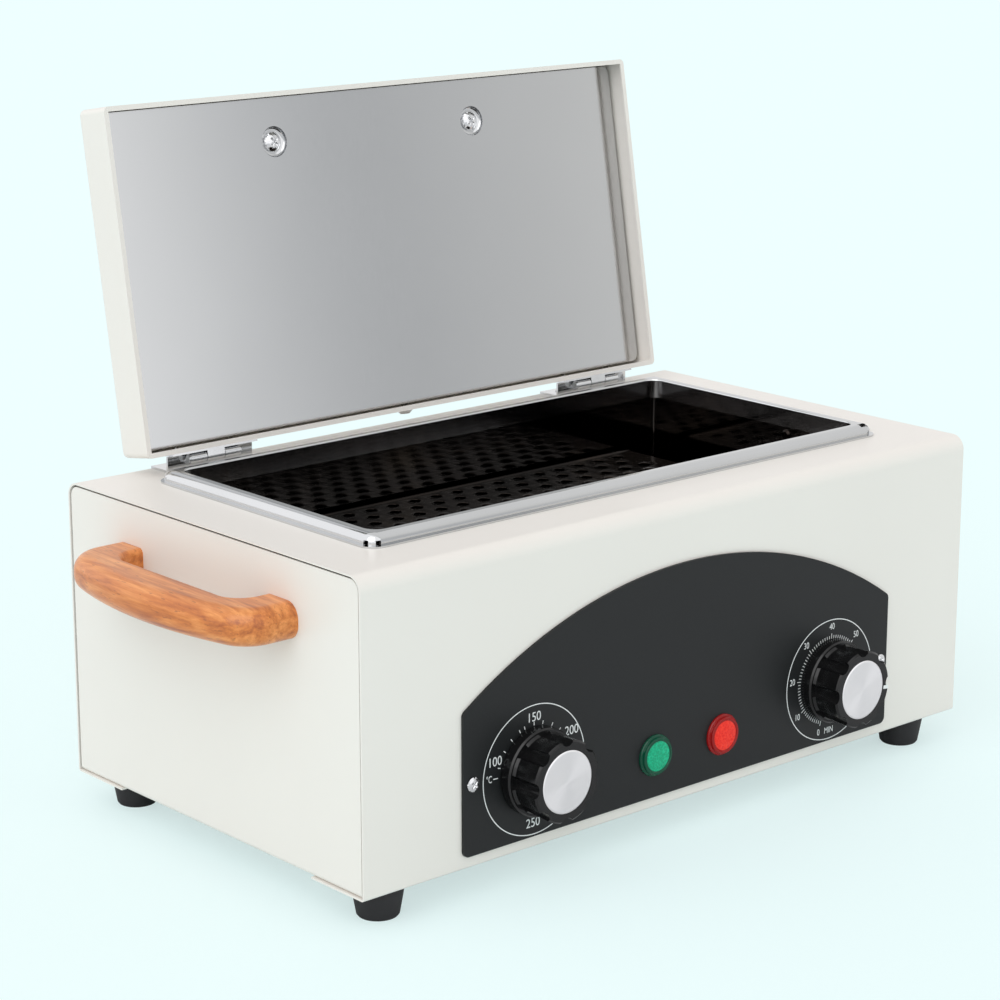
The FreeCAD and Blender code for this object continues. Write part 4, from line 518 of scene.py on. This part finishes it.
# %% Dress the CAD pieces
DRESS = {
    cream_paint: ["housing_wrap", "chassis", "lid_shell"],
    bright_steel: ["rim"],
    liner_steel: ["lid_liner"],
    chamber_steel: ["chamber"],
    tray_steel: ["tray", "bulb_rivets"],
    side_beech: ["handle_left", "handle_right"],
    lid_beech: ["lid_handle"],
    panel_lacquer: ["control_panel"],
    black_abs: ["thermostat_knob", "timer_knob"],
    spun_cap: ["thermostat_knob_cap", "timer_knob_cap"],
    rubber: ["foot_front_left", "foot_front_right", "foot_back_left", "foot_back_right",
             "cord_gland"],
    chrome: ["hinge_base_left", "hinge_base_right", "hinge_leaf_left", "hinge_leaf_right",
             "panel_screws", "lid_handle_screws", "lid_rear_screw", "hinge_base_screws",
             "hinge_lid_screws"],
    zinc: ["foot_screws", "foot_nuts", "floor_screws", "heater_straps", "bulb_clips",
           "timer_body", "bush_nuts", "handle_screws", "hinge_pins"],
    nylon: ["thermostat_body", "lamp_holders", "terminal_block"],
    dark_nylon: ["lamp_nuts", "gland_nut"],
    wool: ["insulation_pad", "lid_insulation"],
    brass: ["thermostat_shaft", "timer_shaft"],
    copper: ["thermostat_bulb"],
    plate_aluminium: ["heater_plate"],
    green_lens: ["lamp_lens_green"],
    red_lens: ["lamp_lens_red"],
}
for finish, names in DRESS.items():
    for name in names:
        node = frame["nodes"][name]
        for slot in node.material_slots:
            slot.material = finish
dressed = {name for names in DRESS.values() for name in names}
print("Pieces without a finish:", sorted(set(frame["nodes"]) - dressed))

# %% [markdown]
# New pieces are modelled the way one works by hand: start a primitive, go into edit mode,
# pick what to change and apply an operator. These helpers do the picking. An operator acts
# on all that is selected, so everything is deselected first.

# %% Helpers for modelling


def start_fresh():
    """Leaves edit mode and deselects everything."""
    if bpy.context.object and bpy.context.object.mode != "OBJECT":
        bpy.ops.object.mode_set(mode="OBJECT")
    bpy.ops.object.select_all(action="DESELECT")


def edit(piece):
    """Opens one piece in edit mode with nothing selected in it."""
    start_fresh()
    piece.select_set(True)
    bpy.context.view_layer.objects.active = piece
    bpy.ops.object.mode_set(mode="EDIT")
    bpy.ops.mesh.select_all(action="DESELECT")


def pick(form, test):
    """Selects the points, edges or faces whose middle passes a test."""
    bpy.ops.mesh.select_mode(type=form)
    bpy.ops.mesh.select_all(action="DESELECT")
    piece = bpy.context.edit_object
    shape = bmesh.from_edit_mesh(piece.data)
    group = {"VERT": shape.verts, "EDGE": shape.edges, "FACE": shape.faces}[form]
    count = 0
    for item in group:
        corners = [item.co] if form == "VERT" else [vertex.co for vertex in item.verts]
        middle = sum(corners, Vector()) / len(corners)
        if test(middle):
            item.select_set(True)
            count += 1
    shape.select_flush_mode()
    bmesh.update_edit_mesh(piece.data)
    return count


def apply_modifier(piece, kind, **settings):
    """Adds a modifier with its settings and applies it."""
    start_fresh()
    piece.select_set(True)
    bpy.context.view_layer.objects.active = piece
    modifier = piece.modifiers.new(kind.lower(), kind)
    for name, setting in settings.items():
        setattr(modifier, name, setting)
    bpy.ops.object.modifier_apply(modifier=modifier.name)


def join(pieces, name):
    """Joins pieces to one and names it."""
    start_fresh()
    for piece in pieces:
        piece.select_set(True)
    bpy.context.view_layer.objects.active = pieces[0]
    if len(pieces) > 1:
        bpy.ops.object.join()
    pieces[0].name = name
    return pieces[0]


def settle(piece):
    """Moves a piece's place, turn and size into its mesh."""
    start_fresh()
    piece.select_set(True)
    bpy.context.view_layer.objects.active = piece
    bpy.ops.object.transform_apply(location=True, rotation=True, scale=True)
    return piece


def finish_piece(piece, material, body, smooth=None):
    """Gives a finished piece its material, shading and body."""
    settle(piece)
    piece.data.materials.clear()
    piece.data.materials.append(material)
    if smooth is not None:
        bpy.ops.object.shade_smooth_by_angle(angle=math.radians(smooth))
    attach(piece, body)
    print("%s: %d faces" % (piece.name, len(piece.data.polygons)))
    return piece


# %% [markdown]
# The tray is a sheet punched with staggered round holes. A punch rolls the edge of the
# hole in a little before it shears, and that soft edge is what catches the light. One
# cell of the pattern is modelled with its hole and repeated by arrays: seven long rows,
# and between them six that are one hole shorter and half a pitch over.

# %% One punched cell
tray_low, tray_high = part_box("tray")
HOLE_PITCH = 13 * MM
ROW_PITCH = 9.6 * MM
HOLE_RADIUS = 2.85 * MM
ROLL_WIDTH = 0.35 * MM
ROLL_DEPTH = 0.3 * MM
HOLE_SIDES = 20
SHEET = 0.8 * MM
LONG_ROW = 18
ROWS = 13
tray_middle = (tray_low + tray_high) / 2


def punched_cell(name):
    """One cell of the pattern, its hole's edge rolled in, at the origin."""
    start_fresh()
    bpy.ops.mesh.primitive_grid_add(x_subdivisions=2, y_subdivisions=2, size=1)
    cell = bpy.context.object
    cell.name = name
    edit(cell)
    bpy.ops.mesh.select_all(action="SELECT")
    bpy.ops.transform.resize(value=(HOLE_PITCH, ROW_PITCH, 1))
    pick("VERT", lambda middle: middle.length < 1e-6)
    bpy.ops.mesh.delete(type="VERT")
    bpy.ops.mesh.primitive_circle_add(vertices=HOLE_SIDES, radius=HOLE_RADIUS + ROLL_WIDTH)
    pick("EDGE", lambda middle: True)
    bpy.ops.mesh.bridge_edge_loops()
    ring = HOLE_RADIUS + ROLL_WIDTH
    pick("EDGE", lambda middle: abs(middle.length - ring * math.cos(math.pi / HOLE_SIDES)) < 1e-6)
    for part in (0.5, 1.0):
        bpy.ops.mesh.extrude_region_move()
        now = HOLE_RADIUS + ROLL_WIDTH * (1 - 0.5 * (part > 0.5))
        new = HOLE_RADIUS + ROLL_WIDTH * (1 - part)
        bpy.ops.transform.resize(value=(new / now, new / now, 1))
        drop = ROLL_DEPTH * (0.25 if part < 1 else 0.75)
        bpy.ops.transform.translate(value=(0, 0, -drop))
    bpy.ops.object.mode_set(mode="OBJECT")
    return cell


def punched_row(name, count, along):
    """A row of cells, centred, with plain sheet out to the tray's ends."""
    row = punched_cell(name)
    apply_modifier(row, "ARRAY", count=count, use_relative_offset=False,
                   use_constant_offset=True, constant_offset_displace=(HOLE_PITCH, 0, 0),
                   use_merge_vertices=True, merge_threshold=0.01 * MM)
    row.location = (-(count - 1) / 2 * HOLE_PITCH, along, 0)
    settle(row)
    edit(row)
    end = count * HOLE_PITCH / 2
    steps = [LONG_ROW * HOLE_PITCH / 2, tray_high.x]
    for side in (-1, 1):
        pick("EDGE", lambda middle: abs(middle.x - side * end) < 1e-6)
        here = end
        for step in steps:
            if step - here > 1e-6:
                bpy.ops.mesh.extrude_region_move()
                bpy.ops.transform.translate(value=(side * (step - here), 0, 0))
                here = step
    bpy.ops.object.mode_set(mode="OBJECT")
    return row


long_rows = punched_row("long_rows", LONG_ROW, -(ROWS - 1) / 2 * ROW_PITCH)
short_rows = punched_row("short_rows", LONG_ROW - 1, -(ROWS - 3) / 2 * ROW_PITCH)
for rows, count in ((long_rows, (ROWS + 1) // 2), (short_rows, ROWS // 2)):
    apply_modifier(rows, "ARRAY", count=count, use_relative_offset=False,
                   use_constant_offset=True, constant_offset_displace=(0, 2 * ROW_PITCH, 0),
                   use_merge_vertices=True, merge_threshold=0.01 * MM)
tray = join([long_rows, short_rows], "tray_punched")
tray.location = (tray_middle.x, tray_middle.y, tray_high.z)
settle(tray)

# %% [markdown]
# The sheet's long edges fold down to make the two legs it stands on. The free edge is
# extruded out to the bend, spun round the bend's axis and extruded down to the floor.
# Solidify then gives the sheet its thickness, downwards and inwards from this skin.

# %% Fold the legs
FOLD_RADIUS = 1.8 * MM
edit(tray)
bpy.ops.mesh.select_all(action="SELECT")
bpy.ops.mesh.remove_doubles(threshold=0.01 * MM)
edge_reach = ROWS * ROW_PITCH / 2
for side, limit in ((-1, tray_low.y), (1, tray_high.y)):
    edge = tray_middle.y + side * edge_reach
    bend = limit - side * FOLD_RADIUS
    pick("EDGE", lambda middle: abs(middle.y - edge) < 1e-5)
    bpy.ops.mesh.extrude_region_move()
    bpy.ops.transform.translate(value=(0, bend - edge, 0))
    bpy.ops.mesh.spin(steps=5, angle=-side * math.pi / 2, axis=(1, 0, 0),
                      center=(0, bend, tray_high.z - FOLD_RADIUS))
    bpy.ops.mesh.extrude_region_move()
    bpy.ops.transform.translate(value=(0, 0, tray_low.z - tray_high.z + FOLD_RADIUS))
bpy.ops.mesh.select_all(action="SELECT")
bpy.ops.mesh.remove_doubles(threshold=0.01 * MM)
bpy.ops.mesh.normals_make_consistent(inside=False)
bpy.ops.object.mode_set(mode="OBJECT")
up = sum(face.normal.z * face.area for face in tray.data.polygons)
if up < 0:
    edit(tray)
    bpy.ops.mesh.select_all(action="SELECT")
    bpy.ops.mesh.flip_normals()
    bpy.ops.object.mode_set(mode="OBJECT")
apply_modifier(tray, "SOLIDIFY", thickness=SHEET, offset=-1.0)
finish_piece(tray, tray_steel, "housing", smooth=40)
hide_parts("tray")
print("tray spans", [round(size, 4) for size in tray.dimensions])

# %% [markdown]
# A lamp's lens is moulded in one piece: a barrel through the panel, a thin flange in front
# of it, and a raised bezel round the window. It is a round form, so it starts as a short
# cylinder along Y, and its front face is extruded step by step. Each step scales the face
# to the next radius and moves it to the next height above the panel.

# %% Lamp lenses
LENS_SIDES = 72
BARREL_RADIUS = 7.8
LENS_STEPS = ((9.35, 0.0), (9.35, 0.7), (9.0, 1.15), (8.5, 1.25), (8.35, 1.5), (8.35, 2.2),
              (8.05, 2.5), (7.3, 2.55), (6.95, 2.2), (5.0, 2.42), (2.5, 2.55))


def lamp_lens(node, name, material):
    """A lens in the place of its plain CAD node."""
    low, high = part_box(node)
    middle = (low + high) / 2
    barrel = high.y - PANEL_FACE
    start_fresh()
    bpy.ops.mesh.primitive_cylinder_add(
        vertices=LENS_SIDES, radius=BARREL_RADIUS * MM, depth=barrel,
        location=(middle.x, PANEL_FACE + barrel / 2, middle.z), rotation=(math.pi / 2, 0, 0))
    lens = settle(bpy.context.object)
    lens.name = name
    edit(lens)
    pick("FACE", lambda spot: abs(spot.y - PANEL_FACE) < 1e-6)
    radius, height = BARREL_RADIUS, 0.0
    for next_radius, next_height in LENS_STEPS:
        bpy.ops.mesh.extrude_region_move()
        share = next_radius / radius
        bpy.ops.transform.resize(value=(share, 1, share),
                                 center_override=(middle.x, PANEL_FACE, middle.z))
        bpy.ops.transform.translate(value=(0, -(next_height - height) * MM, 0))
        radius, height = next_radius, next_height
    bpy.ops.object.mode_set(mode="OBJECT")
    finish_piece(lens, material, "housing", smooth=35)
    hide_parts(node)


lamp_lens("lamp_lens_green", "green_lamp_lens", green_lens)
lamp_lens("lamp_lens_red", "red_lamp_lens", red_lens)

# %% [markdown]
# The dials are screen-printed: a thin ring, short ticks and figures. Ink has a thickness
# one can barely feel, so each mark is a flat shape a few hundredths of a millimetre thick.
# The ring is a circle extruded inwards, a tick is a small plane turned to its angle, and
# figures are text turned to mesh. All stand on the panel's face.

# %% Helpers for print
INK = 0.05 * MM
dial_centres = {}
for word in ("thermostat", "timer"):
    knob_low, knob_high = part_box(word + "_knob")
    middle = (knob_low + knob_high) / 2
    dial_centres[word] = Vector((middle.x, PANEL_FACE, middle.z))


def printed_ring(centre, radius, width):
    """A thin flat ring on the panel, facing forwards."""
    start_fresh()
    bpy.ops.mesh.primitive_circle_add(vertices=128, radius=radius, location=centre,
                                      rotation=(math.pi / 2, 0, 0))
    ring = settle(bpy.context.object)
    edit(ring)
    pick("EDGE", lambda middle: True)
    bpy.ops.mesh.extrude_region_move()
    inner = (radius - width) / radius
    bpy.ops.transform.resize(value=(inner, 1, inner), center_override=centre)
    bpy.ops.object.mode_set(mode="OBJECT")
    return ring


def printed_tick(centre, angle, start, length, width):
    """A short flat line on the panel that points away from a dial's centre."""
    start_fresh()
    turn = math.radians(angle)
    out = Vector((math.cos(turn), 0, math.sin(turn)))
    bpy.ops.mesh.primitive_plane_add(size=1, location=centre + out * (start + length / 2),
                                     rotation=(math.pi / 2, -turn, 0))
    tick = bpy.context.object
    tick.scale = (length, width, 1)
    return settle(tick)


def printed_word(words, place, height, turn=0.0, squeeze=1.0):
    """Figures or letters as a flat mesh on the panel."""
    start_fresh()
    bpy.ops.object.text_add(location=place, rotation=(math.pi / 2, -math.radians(turn), 0))
    text = bpy.context.object
    text.data.body = words
    text.data.size = height
    text.data.align_x = "CENTER"
    text.data.align_y = "CENTER"
    text.scale = (squeeze, 1, 1)
    bpy.ops.object.convert(target="MESH")
    return settle(bpy.context.object)


def raise_ink(pieces, name, body="housing"):
    """Joins marks, faces them forwards and gives the ink its thickness."""
    marks = join(pieces, name)
    edit(marks)
    bpy.ops.mesh.select_all(action="SELECT")
    bpy.ops.mesh.remove_doubles(threshold=0.001 * MM)
    shape = bmesh.from_edit_mesh(marks.data)
    for face in shape.faces:
        face.normal_update()
        face.select_set(face.normal.y > 0)
    bmesh.update_edit_mesh(marks.data)
    bpy.ops.mesh.flip_normals()
    bpy.ops.object.mode_set(mode="OBJECT")
    apply_modifier(marks, "SOLIDIFY", thickness=INK, offset=1.0)
    return finish_piece(marks, white_print, body)


# %% [markdown]
# The left dial sets the temperature, from off past 100, 150 and 200 to 250 degrees. The
# angles are read off the photograph, counted from three o'clock against the clock.

# %% Temperature dial
RING_RADIUS = 28.4 * MM
RING_WIDTH = 0.42 * MM
FIGURE_HEIGHT = 5.7 * MM
heat_centre = dial_centres["thermostat"]
HEAT_FIGURES = {"100": (159, 23.4), "150": (91, 22.9), "200": (31, 24.2), "250": (-92, 23.2)}
HEAT_TICKS = (165, 145, 129, 114, 106, 91, 77, 61, 46, 14, -2, -18, -34, -50, -66)
TICK_START = 19.4 * MM
TICK_LENGTH = 1.5 * MM
TICK_WIDTH = 0.4 * MM
UNIT_ANGLE = 177
UNIT_START = 20.2 * MM
UNIT_LENGTH = 2.6 * MM
UNIT_RADIUS = 25.0


def on_dial(centre, angle, radius):
    """The point of a dial at an angle in degrees and a radius in millimetres."""
    turn = math.radians(angle)
    return centre + Vector((math.cos(turn), 0, math.sin(turn))) * radius * MM


marks = [printed_ring(heat_centre, RING_RADIUS, RING_WIDTH)]
for angle in HEAT_TICKS:
    marks.append(printed_tick(heat_centre, angle, TICK_START, TICK_LENGTH, TICK_WIDTH))
for words, (angle, radius) in HEAT_FIGURES.items():
    marks.append(printed_word(words, on_dial(heat_centre, angle, radius), FIGURE_HEIGHT,
                              squeeze=0.92))
marks.append(printed_tick(heat_centre, UNIT_ANGLE, UNIT_START, UNIT_LENGTH, TICK_WIDTH))
marks.append(printed_word("°C", on_dial(heat_centre, UNIT_ANGLE, UNIT_RADIUS), 4.4 * MM,
                          squeeze=0.66))
raise_ink(marks, "temperature_dial_print")

# %% [markdown]
# The right dial sets the time, up to an hour. It has a tick for every minute, and a longer
# tick and a figure for every tenth.

# %% Time dial
time_centre = dial_centres["timer"]
TIME_START = 255
TIME_STEP = 41.7
TIME_FIGURES = ("0", "10", "20", "30", "40", "50", "60")
TICKS_PER_STEP = 10
MINUTE_START = 19.3 * MM
MINUTE_SHORT = 1.5 * MM
MINUTE_LONG = 2.4 * MM
MINUTE_WIDTH = 0.34 * MM
MINUTE_RADIUS = 24.9
MINUTE_HEIGHT = 4.2 * MM

marks = [printed_ring(time_centre, RING_RADIUS, RING_WIDTH)]
tick_count = TICKS_PER_STEP * (len(TIME_FIGURES) - 1)
for step in range(tick_count + 1):
    angle = TIME_START - step * TIME_STEP / TICKS_PER_STEP
    long_tick = step % TICKS_PER_STEP == 0
    length = MINUTE_LONG if long_tick else MINUTE_SHORT
    marks.append(printed_tick(time_centre, angle, MINUTE_START, length, MINUTE_WIDTH))
for step, words in enumerate(TIME_FIGURES):
    spot = on_dial(time_centre, TIME_START - step * TIME_STEP, MINUTE_RADIUS)
    marks.append(printed_word(words, spot, MINUTE_HEIGHT, squeeze=0.82))
marks.append(printed_word("MIN", on_dial(time_centre, -89, 24.2), MINUTE_HEIGHT, squeeze=0.8))
raise_ink(marks, "time_dial_print")

# %% [markdown]
# The timer's knob carries its own mark: a white bar printed on the front of its skirt,
# between the cap and the edge. It turns with the knob, so it rides on that body.

# %% Timer pointer
POINTER_ANGLE = -7
POINTER_START = 14.1 * MM
POINTER_LENGTH = 3.0 * MM
POINTER_WIDTH = 1.6 * MM
knob_front = Vector((time_centre.x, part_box("timer_knob")[0].y, time_centre.z))
pointer = printed_tick(knob_front, POINTER_ANGLE, POINTER_START, POINTER_LENGTH,
                       POINTER_WIDTH)
raise_ink([pointer], "timer_knob_pointer", "timer_dial")

# %% [markdown]
# The visible screws have a cross recess. The cutter for it is a plus sign: a small square
# whose four sides are extruded out to arms, the whole pushed down to the depth and drawn in
# a little there, as the driver's tip tapers. It is set into the top of each head and a
# Boolean takes it away. A node with several screws is parted first and joined again, and
# the lid's screws are worked on with the lid shut, where they stand square to the axes.

# %% Cross recesses
CUTTER_RISE = 0.2
TIP_SHARE = 0.55


def cross_cutter(width, reach, depth):
    """A plus-shaped wedge below the XY plane, with its arms along X and Y."""
    start_fresh()
    bpy.ops.mesh.primitive_plane_add(size=width)
    cutter = bpy.context.object
    edit(cutter)
    arm = reach - width / 2
    for side in (Vector((1, 0, 0)), Vector((-1, 0, 0)), Vector((0, 1, 0)), Vector((0, -1, 0))):
        pick("EDGE", lambda middle: (middle - side * width / 2).length < 1e-6)
        bpy.ops.mesh.extrude_region_move()
        bpy.ops.transform.translate(value=side * arm)
    bpy.ops.mesh.select_all(action="SELECT")
    bpy.ops.transform.translate(value=(0, 0, depth * CUTTER_RISE))
    bpy.ops.mesh.extrude_region_move()
    bpy.ops.transform.translate(value=(0, 0, -depth * (1 + CUTTER_RISE)))
    bpy.ops.transform.resize(value=(TIP_SHARE, TIP_SHARE, 1), center_override=(0, 0, -depth))
    bpy.ops.mesh.select_all(action="SELECT")
    bpy.ops.mesh.normals_make_consistent(inside=False)
    bpy.ops.object.mode_set(mode="OBJECT")
    return cutter


def crossed_screws(node, name, out, size, body, turn=0.0):
    """The screws of a node with a recess in each head, which faces the direction out."""
    width, reach, depth = size
    copy = bpy.data.objects.new(name, frame["nodes"][node].data.copy())
    bpy.context.scene.collection.objects.link(copy)
    on_lid = body == "lid"
    if on_lid:
        copy.data.transform(swing_shut)
    edit(copy)
    bpy.ops.mesh.select_all(action="SELECT")
    bpy.ops.mesh.remove_doubles(threshold=0.001 * MM)
    bpy.ops.mesh.separate(type="LOOSE")
    bpy.ops.object.mode_set(mode="OBJECT")
    screws = list(bpy.context.selected_objects)
    for screw in screws:
        points = [vertex.co for vertex in screw.data.vertices]
        low = Vector([min(point[axis] for point in points) for axis in range(3)])
        high = Vector([max(point[axis] for point in points) for axis in range(3)])
        top = (low + high) / 2
        for axis in range(3):
            if out[axis]:
                top[axis] = high[axis] if out[axis] > 0 else low[axis]
        cutter = cross_cutter(width, reach, depth)
        cutter.rotation_euler = (
            out.to_track_quat("Z", "Y").to_matrix() @ Matrix.Rotation(math.radians(turn), 3, "Z")
        ).to_euler()
        cutter.location = top
        settle(cutter)
        apply_modifier(screw, "BOOLEAN", object=cutter, operation="DIFFERENCE")
        bpy.data.objects.remove(cutter)
    whole = join(screws, name)
    if on_lid:
        whole.data.transform(swing_open)
    finish_piece(whole, chrome, body, smooth=32)
    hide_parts(node)


FORWARDS, BACKWARDS = Vector((0, -1, 0)), Vector((0, 1, 0))
UP, DOWN = Vector((0, 0, 1)), Vector((0, 0, -1))
SMALL_CROSS = (0.7 * MM, 1.5 * MM, 0.8 * MM)
MIDDLE_CROSS = (0.9 * MM, 2.0 * MM, 1.0 * MM)
BIG_CROSS = (1.1 * MM, 2.6 * MM, 1.5 * MM)
crossed_screws("panel_screws", "panel_screws_crossed", FORWARDS, MIDDLE_CROSS, "housing",
               45)
crossed_screws("lid_handle_screws", "lid_handle_screws_crossed", DOWN, BIG_CROSS, "lid",
               40)
crossed_screws("lid_rear_screw", "lid_rear_screw_crossed", BACKWARDS, BIG_CROSS, "lid",
               20)
crossed_screws("hinge_base_screws", "hinge_base_screws_crossed", UP, SMALL_CROSS, "housing",
               25)
crossed_screws("hinge_lid_screws", "hinge_lid_screws_crossed", BACKWARDS, SMALL_CROSS, "lid",
               65)
